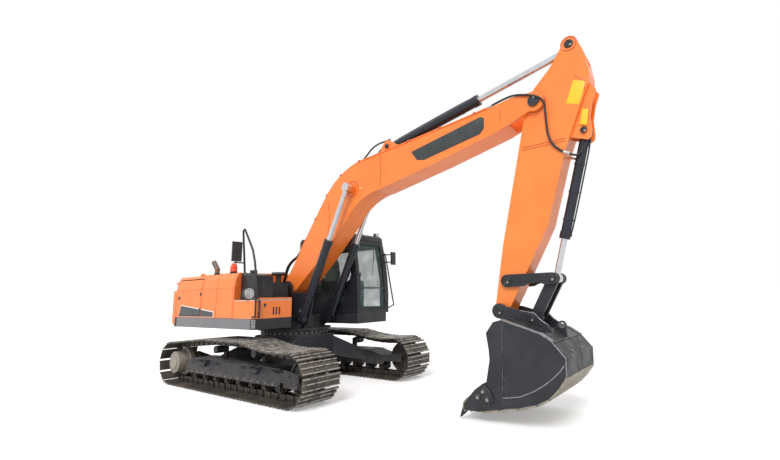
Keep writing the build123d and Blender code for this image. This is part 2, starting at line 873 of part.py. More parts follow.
cab_mid_y = (cab_right_y + half_width) / 2
cab_inner_width = half_width - cab_right_y - 2 * cab_wall
windscreen = (900, 1500, cab_right_y + 50, half_width - 115, 1345, cab_top - 210)
rear_window = (620, 620)
rear_window_z = 2300
roof_window = (520, 560)
roof_window_x = 480
with BuildPart() as cab_shell:
    with BuildSketch(side_plane(cab_mid_y)):
        cab_outline()
    extrude(amount=(half_width - cab_right_y) / 2, both=True)
    with BuildSketch(side_plane(cab_mid_y)):
        cab_outline()
        offset(amount=-cab_wall, mode=Mode.REPLACE)
    extrude(amount=cab_inner_width / 2, both=True, mode=Mode.SUBTRACT)
    # Door opening on the left, with its gap
    with BuildSketch(side_plane(half_width)):
        door_outline(-panel_gap)
    extrude(amount=cab_wall + 1, both=True, mode=Mode.SUBTRACT)
    with BuildSketch(side_plane(cab_right_y)):
        side_window()
    extrude(amount=cab_wall + 1, both=True, mode=Mode.SUBTRACT)
    block(*windscreen, mode=Mode.SUBTRACT)
    with BuildSketch(cross_plane(cab_rear_x)):
        with Locations((cab_mid_y, rear_window_z)):
            Rectangle(*rear_window)
    extrude(amount=cab_wall + 1, both=True, mode=Mode.SUBTRACT)
    with BuildSketch(top_plane(cab_top)):
        with Locations((roof_window_x, cab_mid_y)):
            Rectangle(*roof_window)
    extrude(amount=cab_wall + 1, both=True, mode=Mode.SUBTRACT)
save(cab_shell, "cab_shell")

with BuildPart() as cab_glass:
    # The windscreen follows the bowed front
    with BuildSketch(side_plane(cab_mid_y)):
        cab_outline()
        offset(amount=-cab_wall / 3, mode=Mode.REPLACE)
    extrude(amount=cab_inner_width / 2, both=True)
    with BuildSketch(side_plane(cab_mid_y)):
        cab_outline()
        offset(amount=-cab_wall / 3 - glass_thickness, mode=Mode.REPLACE)
    extrude(amount=cab_inner_width / 2 + 1, both=True, mode=Mode.SUBTRACT)
    block(*windscreen, mode=Mode.INTERSECT)
    with BuildSketch(side_plane(cab_right_y + cab_wall / 2)):
        side_window()
    extrude(amount=glass_thickness / 2, both=True)
    with BuildSketch(cross_plane(cab_rear_x + cab_wall / 2)):
        with Locations((cab_mid_y, rear_window_z)):
            Rectangle(*rear_window)
    extrude(amount=glass_thickness / 2, both=True)
    with BuildSketch(top_plane(cab_top - cab_wall / 2)):
        with Locations((roof_window_x, cab_mid_y)):
            Rectangle(*roof_window)
    extrude(amount=glass_thickness / 2, both=True)
save(cab_glass, "cab_glass")

# Cab door: a frame round one tall pane
door_frame = 65
with BuildPart() as cab_door:
    with BuildSketch(side_plane(half_width - cab_wall / 2)):
        door_outline(0)
    extrude(amount=cab_wall / 2, both=True)
    with BuildSketch(side_plane(half_width - cab_wall / 2)):
        door_outline(door_frame)
    extrude(amount=cab_wall, both=True, mode=Mode.SUBTRACT)
save(cab_door, "cab_door")

with BuildPart() as door_glass:
    with BuildSketch(side_plane(half_width - cab_wall / 2)):
        door_outline(door_frame)
    extrude(amount=glass_thickness / 2, both=True)
save(door_glass, "door_glass")

# Grab bars: two at the box's front corner and a long one up the cab's front pillar
bar_radius = 14
bar_z = (1275, 1580)
bar_out = 40
with BuildPart() as grab_bars:
    front_y = 44 - half_width
    front = right_deck_front_x
    mitred_bar([(front, front_y, bar_z[0]), (front + bar_out, front_y, bar_z[0]),
                (front + bar_out, front_y, bar_z[1] - 40), (front, front_y, bar_z[1] - 40)], bar_radius)
    side_y = -half_width - 31
    back = front - box_corner
    mitred_bar([(back, -half_width, bar_z[0]), (back, side_y, bar_z[0]), (front + bar_out, side_y, bar_z[0]),
                (front + bar_out, side_y, bar_z[1]), (back, side_y, bar_z[1]), (back, -half_width, bar_z[1])],
               bar_radius)
    mitred_bar([(1150, half_width - 20, 2515), (1210, half_width + 20, 2460), (1385, half_width + 72, 1395),
                (1280, half_width - 20, 1325)], bar_radius)
    with BuildSketch(side_plane(cab_mid_y)):
        cab_outline()
    extrude(amount=(half_width - cab_right_y) / 2, both=True, mode=Mode.SUBTRACT)
save(grab_bars, "grab_bars")

# Seat on its pedestal
floor_z = deck_top + cab_wall
seat_x = 330
with BuildPart() as seat:
    block(seat_x - 180, seat_x + 180, cab_mid_y - 170, cab_mid_y + 170, floor_z, floor_z + 330)
    block(seat_x - 250, seat_x + 270, cab_mid_y - 250, cab_mid_y + 250, floor_z + 330, floor_z + 450)
    slab(
        side_plane(cab_mid_y),
        [
            (seat_x - 250, floor_z + 330),
            (seat_x - 130, floor_z + 400),
            (seat_x - 240, floor_z + 1060),
            (seat_x - 340, floor_z + 1050),
        ],
        470,
    )
    block(seat_x - 330, seat_x - 240, cab_mid_y - 130, cab_mid_y + 130, floor_z + 1040, floor_z + 1240)
save(seat, "seat")

# Consoles either side of the seat, with their levers
with BuildPart() as consoles:
    for side in (-1, 1):
        near = cab_mid_y + side * 260
        far = cab_mid_y + side * 390
        block(seat_x - 150, seat_x + 330, min(near, far), max(near, far), floor_z, floor_z + 620)
        with BuildSketch(top_plane(floor_z + 620)):
            with Locations((seat_x + 270, (near + far) / 2)):
                Circle(16)
        extrude(amount=190)
save(consoles, "consoles")

# Mirrors: the right one on the handrail's rear post, the left one on the cab's front pillar
mirror_thickness = 30
with BuildPart() as mirror_right:
    block(85, 85 + mirror_thickness, -half_width - 125, 55 - half_width, 2240, 2590)
    mitred_bar([(36, tank_outer_y + 18, 2225), (36, -half_width - 35, 2225), (100, -half_width - 35, 2225),
                (100, -half_width - 35, 2260)], 12)
save(mirror_right, "mirror_right")

with BuildPart() as mirror_left:
    block(1355, 1355 + mirror_thickness, half_width + 20, half_width + 155, 2235, 2505)
    for z in (2290, 2450):
        mitred_bar([(1150, half_width - 30, z), (1290, half_width - 30, z), (1356, half_width + 45, z)], 12)
    with BuildSketch(side_plane(cab_mid_y)):
        cab_outline()
    extrude(amount=(half_width - cab_right_y) / 2, both=True, mode=Mode.SUBTRACT)
save(mirror_left, "mirror_left")

# Work lamps: a round one on the storage box and two square ones on the cab's roof
lamp_place = (-half_width - 15, 1665)
with BuildPart() as work_lamps:
    with BuildSketch(cross_plane(430)):
        with Locations(lamp_place):
            Circle(85)
    extrude(amount=90, taper=-3)
    block(455, 485, lamp_place[0] - 15, -half_width + 40, box_top, lamp_place[1] - 70)
    for y in (cab_right_y + 325, half_width - 90):
        block(1010, 1075, y - 50, y + 50, cab_top, cab_top + 70)
save(work_lamps, "work_lamps")


# Cylinders: each barrel is bored for its rod, and each rod ends in a solid eye
def barrel(y, foot, angle, length, outer, rod, eye_width, pin):
    """A barrel from its foot eye to its gland, in the part that is open."""
    eye = outer + 10
    gland = outer + 8
    floor = eye + 45
    disc(y, foot, eye, eye_width)
    for start, end, radius, mode in (
        (eye * 0.7, length, outer, Mode.ADD),
        (length - 95, length, gland, Mode.ADD),
        (floor, length, rod + rod_clearance, Mode.SUBTRACT),
    ):
        with BuildSketch(line_plane(y, foot, angle, start)) as section:
            Circle(radius)
        extrude(section.sketch, amount=end - start, mode=mode)
    disc(y, foot, pin + pin_clearance, 3 * outer, mode=Mode.SUBTRACT)


def rod_and_eye(y, foot, angle, reach, length, rod, eye, eye_width):
    """A rod whose eye's centre is reach from the foot, in the part that is open."""
    with BuildSketch(line_plane(y, foot, angle, reach - length)) as section:
        Circle(rod)
    extrude(section.sketch, amount=length)
    disc(y, along(foot, angle, reach), eye, eye_width)


# Boom cylinders, a pair outside the brackets and the boom
boom_pin_place = along(boom_foot, boom_angle, *boom_rod_pin)
boom_cylinder_angle, boom_cylinder_reach = heading(boom_cylinder_foot, boom_pin_place)
with BuildPart() as boom_cylinder_barrels:
    for side in (-1, 1):
        barrel(side * boom_cylinder_y, boom_cylinder_foot, boom_cylinder_angle, 1570, 76, 46, 110, 45)
save(boom_cylinder_barrels, "boom_cylinder_barrels")

with BuildPart() as boom_cylinder_rods:
    for side in (-1, 1):
        rod_and_eye(side * boom_cylinder_y, boom_cylinder_foot, boom_cylinder_angle,
                    boom_cylinder_reach, 1540, 46, 82, 110)
save(boom_cylinder_rods, "boom_cylinder_rods")

# Boom: a bent box beam, forked at its tip, with bosses for both cylinders
boom_plane = side_plane(0, *boom_foot, boom_angle)
fork_depth = 465
ear_plate = 30
ear_y = 80 + side_clearance + ear_plate / 2
boom_boss_half = boom_cylinder_y - 55 - side_clearance


def from_knee(x, z):
    """A point beside the top of the knee, in the boom's own directions."""
    return (boom_knee[0] + x, boom_knee[1] + z)


def from_tip(x, z):
    """A point beside the tip pin, in the boom's own directions."""
    return (boom_length + x, z)


with BuildPart() as boom:
    with BuildSketch(boom_plane):
        with BuildLine():
            Line((-90, 120), (-19, 182))
            Line((-19, 182), from_knee(-471, -78))
            ThreePointArc(from_knee(-471, -78), from_knee(80, 3), from_knee(407, -48))
            Polyline(
                from_knee(407, -48),
                from_knee(1289, -357),
                from_tip(-716, 401),
                from_tip(-244, 274),
                from_tip(110, 102),
                from_tip(19, -94),
                from_tip(-589, -46),
                from_tip(-1627, 169),
                from_knee(598, 461 - boom_knee[1]),
            )
            ThreePointArc(
                from_knee(598, 461 - boom_knee[1]),
                from_knee(109, -boom_knee_depth),
                from_knee(-371, 380 - boom_knee[1]),
            )
            Polyline(from_knee(-371, 380 - boom_knee[1]), (936, 56), (154, -145), (1, -130), (-90, 120))
        make_face()
        Circle(150)
        with Locations((boom_length, 0)):
            Circle(140)
    extrude(amount=boom_width / 2, both=True)
    with BuildSketch(boom_plane):
        Circle(foot_pin_radius + pin_clearance)
    extrude(amount=boom_width, both=True, mode=Mode.SUBTRACT)
    # Fork at the tip, with its own pin
    with BuildSketch(boom_plane):
        with Locations((boom_length, 0)):
            Circle(fork_depth)
    extrude(amount=arm_width / 2 + side_clearance, both=True, mode=Mode.SUBTRACT)
    disc(0, arm_pivot, tip_pin_radius, boom_width + 40)
    disc(0, boom_pin_place, 92, 2 * boom_boss_half)
    for y in (-ear_y, ear_y):
        with BuildSketch(side_plane(y, *boom_foot, boom_angle)):
            with BuildLine():
                Polyline(
                    (arm_cylinder_foot[0] - 420, 980),
                    (arm_cylinder_foot[0] - 95, arm_cylinder_foot[1] + 75),
                    (arm_cylinder_foot[0] + 95, arm_cylinder_foot[1] + 55),
                    (arm_cylinder_foot[0] + 330, 800),
                    close=True,
                )
            make_face()
            with Locations(arm_cylinder_foot):
                Circle(110)
        extrude(amount=ear_plate / 2, both=True)
    disc(0, along(boom_foot, boom_angle, *arm_cylinder_foot), 45, 2 * (ear_y + ear_plate))
save(boom, "boom")

# Arm cylinder above the boom
arm_cylinder_place = along(boom_foot, boom_angle, *arm_cylinder_foot)
arm_pin_place = along(arm_pivot, arm_angle, *arm_rod_pin)
arm_cylinder_angle, arm_cylinder_reach = heading(arm_cylinder_place, arm_pin_place)
with BuildPart() as arm_cylinder_barrel:
    barrel(0, arm_cylinder_place, arm_cylinder_angle, 1810, 80, 50, 120, 45)
save(arm_cylinder_barrel, "arm_cylinder_barrel")

with BuildPart() as arm_cylinder_rod:
    rod_and_eye(0, arm_cylinder_place, arm_cylinder_angle, arm_cylinder_reach, 1880, 50, 85, 120)
save(arm_cylinder_rod, "arm_cylinder_rod")

# Arm: a tapered box beam with a forked tail for its cylinder and ears for the bucket's
arm_plane = side_plane(0, *arm_pivot, arm_angle)
tail_slot_half = 72
tail_slot_floor = -495
cylinder_ear_y = 62 + side_clearance + ear_plate / 2


def from_end(x, z):
    """A point beside the bucket pin, in the arm's own directions."""
    return (arm_length + x, z)


with BuildPart() as arm:
    with BuildSketch(arm_plane):
        with BuildLine():
            Polyline(
                (-arm_tail - 100, arm_rod_pin[1] + 40),
                (-arm_tail - 60, arm_rod_pin[1] - 85),
                (-arm_tail + 33, 242),
                (-477, 128),
                (-180, -60),
                (214, -127),
                from_end(-882, -135),
                from_end(-42, -100),
                from_end(20, 100),
                from_end(-92, 119),
                from_end(-1231, 444),
                (669, 514),
                (72, 617),
                (-254, 681),
                (-361, 666),
                (-600, 580),
                (-arm_tail - 77, 420),
                close=True,
            )
        make_face()
        with Locations(arm_rod_pin):
            Circle(112)
        Circle(135)
        with Locations((arm_length, 0)):
            Circle(105)
    extrude(amount=arm_width / 2, both=True)
    # Open tail between the two webs
    with BuildSketch(arm_plane):
        with Locations((tail_slot_floor - 400, 300)):
            Rectangle(800, 1400)
    extrude(amount=tail_slot_half, both=True, mode=Mode.SUBTRACT)
    with BuildSketch(arm_plane):
        Circle(tip_pin_radius + pin_clearance)
        with Locations((arm_length, 0)):
            Circle(bucket_pin_radius + pin_clearance)
    extrude(amount=arm_width, both=True, mode=Mode.SUBTRACT)
    for y in (-cylinder_ear_y, cylinder_ear_y):
        with BuildSketch(side_plane(y, *arm_pivot, arm_angle)):
            with BuildLine():
                Polyline(
                    (-254, 660),
                    (bracket_peak[0], bracket_peak[1]),
                    (15, 745),
                    (211, 749),
                    (408, 801),
                    (473, 800),
                    (511, 760),
                    (483, 540),
                    close=True,
                )
            make_face()
        extrude(amount=ear_plate / 2, both=True)
    disc(0, along(arm_pivot, arm_angle, *bucket_cylinder_foot), 40, 2 * (cylinder_ear_y + ear_plate))
    guide_place = along(bucket_pivot, arm_angle, *guide_pivot)
    disc(0, guide_place, 62, arm_width + 20)
    disc(0, guide_place, link_pin_radius, arm_width + 90)
save(arm, "arm")

# Bucket linkage: two guide links, one H-shaped link and the bucket cylinder
guide_y = arm_width / 2 + 30
guide_plate = 30
guide_hollow = 260
guide_hollow_at = 0.62
guide_waist = 41
upper_pin_place = along(bucket_pivot, arm_angle, *guide_upper_pin)
link_pin_place = along(bucket_pivot, arm_angle, *bucket_link_pin)
# Each guide link is hollowed on its inner side, where the bucket's hub comes round at full curl
guide_angle, guide_reach = heading(guide_place, upper_pin_place)
hollow_place = along((0, 0), guide_angle, guide_hollow_at * guide_reach, -(guide_waist + guide_hollow))
with BuildPart() as guide_links:
    for side in (-1, 1):
        with BuildSketch(side_plane(side * guide_y, *guide_place)):
            Circle(85)
            end = (upper_pin_place[0] - guide_place[0], upper_pin_place[1] - guide_place[1])
            with Locations(end):
                Circle(72)
            make_hull()
            Circle(link_pin_radius + pin_clearance, mode=Mode.SUBTRACT)
            with Locations(hollow_place):
                Circle(guide_hollow, mode=Mode.SUBTRACT)
        extrude(amount=guide_plate / 2, both=True)
        disc(side * (guide_y - guide_plate / 2 - 8), upper_pin_place, 50, 16)
save(guide_links, "guide_links")

cheek_y = 98
cheek_plate = 45
ear_inner = 205
with BuildPart() as bucket_link:
    end = (link_pin_place[0] - upper_pin_place[0], link_pin_place[1] - upper_pin_place[1])
    for side in (-1, 1):
        with BuildSketch(side_plane(side * cheek_y, *upper_pin_place)):
            Circle(72)
            with Locations(end):
                Circle(72)
            make_hull()
        extrude(amount=cheek_plate / 2, both=True)
    disc(0, link_pin_place, 72, 2 * (ear_inner - side_clearance))
    web = (upper_pin_place[0] + 0.66 * end[0], upper_pin_place[1] + 0.66 * end[1])
    disc(0, web, 48, 2 * cheek_y)
    disc(0, link_pin_place, bucket_pin_radius + pin_clearance, 4 * ear_inner, mode=Mode.SUBTRACT)
save(bucket_link, "bucket_link")

bucket_cylinder_place = along(arm_pivot, arm_angle, *bucket_cylinder_foot)
bucket_cylinder_angle, bucket_cylinder_reach = heading(bucket_cylinder_place, upper_pin_place)
with BuildPart() as bucket_cylinder_barrel:
    barrel(0, bucket_cylinder_place, bucket_cylinder_angle, 1420, 62, 40, 100, 40)
save(bucket_cylinder_barrel, "bucket_cylinder_barrel")

with BuildPart() as bucket_cylinder_rod:
    rod_and_eye(0, bucket_cylinder_place, bucket_cylinder_angle, bucket_cylinder_reach, 1560, 40, 68, 120)
save(bucket_cylinder_rod, "bucket_cylinder_rod")

# Bucket: bent wrapper between two side plates, hung on two ears
bucket_plane = side_plane(0, *bucket_pivot, bucket_angle)
wrapper_points = [
    (0.023, 0.141), (0.016, 0.333), (0.011, 0.512), (0.036, 0.622), (0.115, 0.758), (0.254, 0.800),
    (0.358, 0.771), (0.474, 0.718), (0.563, 0.639), (0.662, 0.505), (0.752, 0.343), (0.855, 0.172),
    (0.908, 0.029),
]
mouth_points = [
    (0.863, 0.010), (0.70, 0.075), (0.615, 0.134), (0.582, 0.166), (0.390, 0.143), (0.311, 0.111),
    (0.179, 0.043), (0.063, 0.082),
]


def scaled(points):
    """Points given as shares of the bucket's reach."""
    return [(x * bucket_reach, y * bucket_reach) for x, y in points]


ear_outline = [
    (30, -95), (-70, -60), (-98, 132), (-106, 273), (-135, 472), (-85, 568), (-60, 667),
    (40, 760), (60, 200), (95, 40),
]
lifting_eye = (-79, 768)
link_local = along((0, 0), arm_angle - bucket_angle, *bucket_link_pin)
with BuildPart() as bucket:
    with BuildSketch(bucket_plane):
        with BuildLine():
            Polyline(*scaled(wrapper_points + mouth_points), close=True)
        make_face()
    extrude(amount=bucket_width / 2, both=True)
    # Hollow, open at the mouth
    with BuildSketch(bucket_plane):
        with BuildLine():
            Polyline(*scaled(wrapper_points), close=False)
            Line((0.908 * bucket_reach, 0.029 * bucket_reach), (0.908 * bucket_reach, -0.2 * bucket_reach))
            Line((0.908 * bucket_reach, -0.2 * bucket_reach), (0.023 * bucket_reach, -0.2 * bucket_reach))
            Line((0.023 * bucket_reach, -0.2 * bucket_reach), (0.023 * bucket_reach, 0.141 * bucket_reach))
        make_face()
        offset(amount=-bucket_plate, mode=Mode.REPLACE)
    extrude(amount=bucket_width / 2 - bucket_plate, both=True, mode=Mode.SUBTRACT)
    # Lip and teeth
    lip = (0.908 * bucket_reach, 0.029 * bucket_reach)
    for i in range(tooth_count):
        spread = bucket_width - 110
        y = -spread / 2 + i * spread / (tooth_count - 1)
        slab(
            side_plane(y, *bucket_pivot, bucket_angle),
            [
                (lip[0] - 160, lip[1] + 20),
                (lip[0] - 20, lip[1] + 45),
                (bucket_reach, 0),
                (lip[0] - 60, lip[1] - 40),
            ],
            75,
        )
    # Ears with their two pins
    for side in (-1, 1):
        with BuildSketch(side_plane(side * (ear_inner + 20), *bucket_pivot, bucket_angle)):
            with BuildLine():
                Polyline(*ear_outline, close=True)
            make_face()
            Circle(100)
            with Locations(link_local):
                Circle(85)
        extrude(amount=20, both=True)
        boss = ear_inner - arm_width / 2 - side_clearance / 2
        disc(side * (ear_inner - boss / 2), bucket_pivot, 92, boss)
    # Lifting eye on the back
    with BuildSketch(bucket_plane):
        with Locations(lifting_eye):
            Circle(55)
        with Locations((60, 700), (75, 850)):
            Circle(30)
        make_hull()
        with Locations(lifting_eye):
            Circle(30, mode=Mode.SUBTRACT)
    extrude(amount=20, both=True)
    disc(0, bucket_pivot, bucket_pin_radius, 2 * ear_inner + 80)
    disc(0, link_pin_place, bucket_pin_radius, 2 * ear_inner + 80)
save(bucket, "bucket")
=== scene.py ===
import math

import bmesh
import bpy
from mathutils import Matrix, Vector


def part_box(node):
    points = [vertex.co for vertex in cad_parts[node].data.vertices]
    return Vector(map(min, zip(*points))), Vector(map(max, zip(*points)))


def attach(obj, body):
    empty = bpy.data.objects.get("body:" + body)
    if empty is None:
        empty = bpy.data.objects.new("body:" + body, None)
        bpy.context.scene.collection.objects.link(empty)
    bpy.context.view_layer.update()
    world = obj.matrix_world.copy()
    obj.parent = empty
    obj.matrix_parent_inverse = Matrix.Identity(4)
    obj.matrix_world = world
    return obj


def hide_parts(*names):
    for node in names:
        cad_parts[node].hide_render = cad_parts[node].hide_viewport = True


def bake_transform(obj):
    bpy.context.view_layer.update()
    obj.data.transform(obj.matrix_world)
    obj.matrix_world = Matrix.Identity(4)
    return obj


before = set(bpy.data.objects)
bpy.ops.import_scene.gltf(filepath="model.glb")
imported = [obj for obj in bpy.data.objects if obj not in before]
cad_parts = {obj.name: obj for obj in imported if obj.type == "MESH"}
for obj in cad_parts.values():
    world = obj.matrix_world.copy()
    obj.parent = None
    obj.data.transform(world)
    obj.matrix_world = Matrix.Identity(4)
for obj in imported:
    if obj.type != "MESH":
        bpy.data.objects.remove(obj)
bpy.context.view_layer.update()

# The yard floor and the light
# A wide pale floor under an even white sky, with one large soft lamp high on the right.
# The camera sees both as plain white, and the floor keeps only the machine's shadow.
floor_colour = (0.80, 0.80, 0.80)
floor_glow = 0.30
sky_light = 0.75
lamp_strength = 2.1
lamp_softness = math.radians(24)

floor_mesh = bpy.data.meshes.new("yard_floor")
floor_mesh.from_pydata([(-300, -300, 0), (300, -300, 0), (300, 300, 0), (-300, 300, 0)], [], [(0, 1, 2, 3)])
yard_floor = bpy.data.objects.new("yard_floor", floor_mesh)
bpy.context.scene.collection.objects.link(yard_floor)
floor_finish = bpy.data.materials.new("pale_floor")
floor_finish.use_nodes = True
floor_shader = floor_finish.node_tree.nodes["Principled BSDF"]
floor_shader.inputs["Base Color"].default_value = (*floor_colour, 1)
floor_shader.inputs["Roughness"].default_value = 0.95
floor_shader.inputs["Specular IOR Level"].default_value = 0.1
floor_shader.inputs["Emission Color"].default_value = (1, 1, 1, 1)
floor_rays = floor_finish.node_tree.nodes.new("ShaderNodeLightPath")
floor_lift = floor_finish.node_tree.nodes.new("ShaderNodeMapRange")
floor_lift.inputs["To Max"].default_value = floor_glow
floor_finish.node_tree.links.new(floor_rays.outputs["Is Camera Ray"], floor_lift.inputs["Value"])
floor_finish.node_tree.links.new(floor_lift.outputs[0], floor_shader.inputs["Emission Strength"])
floor_mesh.materials.append(floor_finish)

sky = bpy.data.worlds.new("even_sky")
bpy.context.scene.world = sky
sky.use_nodes = True
sky_nodes, sky_links = sky.node_tree.nodes, sky.node_tree.links
sky_shade = sky_nodes["Background"]
sky_shade.inputs["Color"].default_value = (1, 1, 1, 1)
rays = sky_nodes.new("ShaderNodeLightPath")
seen = sky_nodes.new("ShaderNodeMath")
seen.operation = "MAXIMUM"
sky_links.new(rays.outputs["Is Camera Ray"], seen.inputs[0])
sky_links.new(rays.outputs["Is Glossy Ray"], seen.inputs[1])
seen_or_glass = sky_nodes.new("ShaderNodeMath")
seen_or_glass.operation = "MAXIMUM"
sky_links.new(seen.outputs[0], seen_or_glass.inputs[0])
sky_links.new(rays.outputs["Is Transmission Ray"], seen_or_glass.inputs[1])
sky_level = sky_nodes.new("ShaderNodeMapRange")
sky_level.inputs["To Min"].default_value = sky_light
sky_level.inputs["To Max"].default_value = 1.0
sky_links.new(seen_or_glass.outputs[0], sky_level.inputs["Value"])
sky_links.new(sky_level.outputs[0], sky_shade.inputs["Strength"])

lamp_data = bpy.data.lights.new("soft_sun", "SUN")
lamp_data.energy = lamp_strength
lamp_data.angle = lamp_softness
soft_sun = bpy.data.objects.new("soft_sun", lamp_data)
soft_sun.rotation_euler = (math.radians(46), 0, math.radians(22))
bpy.context.scene.collection.objects.link(soft_sun)

# The camera
# It stands low at the front right corner and looks up past the bucket,
# turned and shifted to the photograph's own framing of 780 by 460 pixels.
eye_place = (5.399, -5.459, 1.544)
eye_yaw = math.radians(125.75)
eye_pitch = math.radians(10.35)
eye_roll = math.radians(-1.32)
eye_focus = 414.25
frame_width = 780
eye_centre = (418.69, 221.25)
frame_centre = (390, 230)

ahead = Vector((math.cos(eye_pitch) * math.cos(eye_yaw), math.cos(eye_pitch) * math.sin(eye_yaw),
                math.sin(eye_pitch)))
level_right = ahead.cross(Vector((0, 0, 1))).normalized()
level_up = level_right.cross(ahead)
right = level_right * math.cos(eye_roll) + level_up * math.sin(eye_roll)
up = level_up * math.cos(eye_roll) - level_right * math.sin(eye_roll)
camera_data = bpy.data.cameras.new("yard_camera")
camera_data.sensor_width = 36
camera_data.lens = eye_focus * camera_data.sensor_width / frame_width
camera_data.shift_x = (frame_centre[0] - eye_centre[0]) / frame_width
camera_data.shift_y = (eye_centre[1] - frame_centre[1]) / frame_width
yard_camera = bpy.data.objects.new("yard_camera", camera_data)
yard_camera.matrix_world = Matrix.Translation(eye_place) @ Matrix((right, up, -ahead)).transposed().to_4x4()
bpy.context.scene.collection.objects.link(yard_camera)
bpy.context.scene.camera = yard_camera
bpy.context.scene.view_settings.view_transform = "Standard"

# Track shoes
# Forty-nine steel shoes a side, each a rolled plate with three ribs across, bolted to two links.
# The ribs are rubbed bright along their tips, and earth has dried between them.

# Places are in millimetres: x forward of the swing axis, y to the left and z up from the ground.
swing_x = -1641.35
machine = ((0, 0), 0)


def turned(start, angle, x, z):
    """A point x along and z above a line that leaves start at an angle, in the side view."""
    c, s = math.cos(math.radians(angle)), math.sin(math.radians(angle))
    return start[0] + x * c - z * s, start[1] + x * s + z * c


def spot(part, x, y, z):
    """The place in metres of a point given on one part."""
    u, w = turned(*part, x, z)
    return Vector((swing_x + u, y, w)) / 1000


class Coat:
    """A finish that is built up in layers, each over the last."""

    def __init__(self, name, slot, colour, roughness=0.45, metal=0.0):
        self.material = bpy.data.materials.new(name)
        self.material.use_nodes = True
        self.nodes, self.links = self.material.node_tree.nodes, self.material.node_tree.links
        self.shader = self.nodes["Principled BSDF"]
        self.shader.inputs["Metallic"].default_value = metal
        self.shader.inputs["Roughness"].default_value = roughness
        self.shader.inputs["Base Color"].default_value = (*colour, 1)
        self.where = self.nodes.new("ShaderNodeTexCoord").outputs["Object"]
        self.colour = None
        self.plain = (*colour, 1)

    def noise(self, scale, detail=3.0):
        """Cloudy noise over the piece, scale blots to the metre."""
        blots = self.nodes.new("ShaderNodeTexNoise")
        blots.inputs["Scale"].default_value = scale
        blots.inputs["Detail"].default_value = detail
        self.links.new(self.where, blots.inputs["Vector"])
        return blots.outputs["Fac"]

    def ramp(self, value, low, high, to_low=0.0, to_high=1.0):
        """A value stretched between two levels and clipped there."""
        stretch = self.nodes.new("ShaderNodeMapRange")
        stretch.interpolation_type = "SMOOTHSTEP"
        for name, level in (("From Min", low), ("From Max", high), ("To Min", to_low), ("To Max", to_high)):
            stretch.inputs[name].default_value = level
        self.links.new(value, stretch.inputs["Value"])
        return stretch.outputs[0]

    def maths(self, kind, a, b):
        """Two values put together, either of them a plain number."""
        step = self.nodes.new("ShaderNodeMath")
        step.operation = kind
        for i, value in enumerate((a, b)):
            if isinstance(value, (int, float)):
                step.inputs[i].default_value = value
            else:
                self.links.new(value, step.inputs[i])
        return step.outputs[0]

    def axis(self, name):
        """How far along one axis a point lies, in metres."""
        split = self.nodes.new("ShaderNodeSeparateXYZ")
        self.links.new(self.where, split.inputs[0])
        return split.outputs[name]

    def over(self, amount, colour):
        """Lay a colour over the piece where amount is high."""
        mix = self.nodes.new("ShaderNodeMix")
        mix.data_type = "RGBA"
        self.links.new(amount, mix.inputs["Factor"])
        if self.colour is None:
            mix.inputs["A"].default_value = self.plain
        else:
            self.links.new(self.colour, mix.inputs["A"])
        mix.inputs["B"].default_value = (*colour, 1)
        self.colour = mix.outputs["Result"]
        self.links.new(self.colour, self.shader.inputs["Base Color"])
        return self

    def mottled(self, shade, scale=3.0, share=0.5):
        """Slow changes of shade, as sun and hosing leave them."""
        return self.over(self.ramp(self.noise(scale), 0.35, 0.75, 0, share), shade)

    def dusty(self, dust, amount=0.5, scale=7.0):
        """Dust that settles on what faces up."""
        facing = self.nodes.new("ShaderNodeNewGeometry")
        split = self.nodes.new("ShaderNodeSeparateXYZ")
        self.links.new(facing.outputs["Normal"], split.inputs[0])
        level = self.ramp(split.outputs["Z"], 0.25, 0.95, 0, amount)
        return self.over(self.maths("MULTIPLY", level, self.ramp(self.noise(scale, 6), 0.35, 0.7)), dust)

    def muddy(self, mud, low, high, amount=0.7, scale=9.0):
        """Mud that thins out upwards between two heights."""
        level = self.ramp(self.axis("Z"), low, high, amount, 0)
        return self.over(self.maths("MULTIPLY", level, self.ramp(self.noise(scale, 6), 0.3, 0.6)), mud)

    def edged(self, metal, width=0.006, amount=0.8, scale=14.0):
        """Paint worn through along the edges."""
        bevel = self.nodes.new("ShaderNodeBevel")
        bevel.samples = 4
        bevel.inputs["Radius"].default_value = width
        facing = self.nodes.new("ShaderNodeNewGeometry")
        compare = self.nodes.new("ShaderNodeVectorMath")
        compare.operation = "DOT_PRODUCT"
        self.links.new(bevel.outputs["Normal"], compare.inputs[0])
        self.links.new(facing.outputs["Normal"], compare.inputs[1])
        rub = self.ramp(compare.outputs["Value"], 0.80, 0.985, amount, 0)
        return self.over(self.maths("MULTIPLY", rub, self.ramp(self.noise(scale, 5), 0.42, 0.6)), metal)

    def grained(self, scale=260.0, strength=0.12, depth=0.0008):
        """Fine relief such as orange peel, casting skin or moulding."""
        relief = self.nodes.new("ShaderNodeBump")
        relief.inputs["Strength"].default_value = strength
        relief.inputs["Distance"].default_value = depth
        self.links.new(self.noise(scale, 4), relief.inputs["Height"])
        self.links.new(relief.outputs["Normal"], self.shader.inputs["Normal"])
        return self

    def sheen_between(self, low, high, scale=5.0):
        """Gloss that changes from place to place."""
        self.links.new(self.ramp(self.noise(scale, 4), 0.3, 0.7, low, high),
                       self.shader.inputs["Roughness"])
        return self


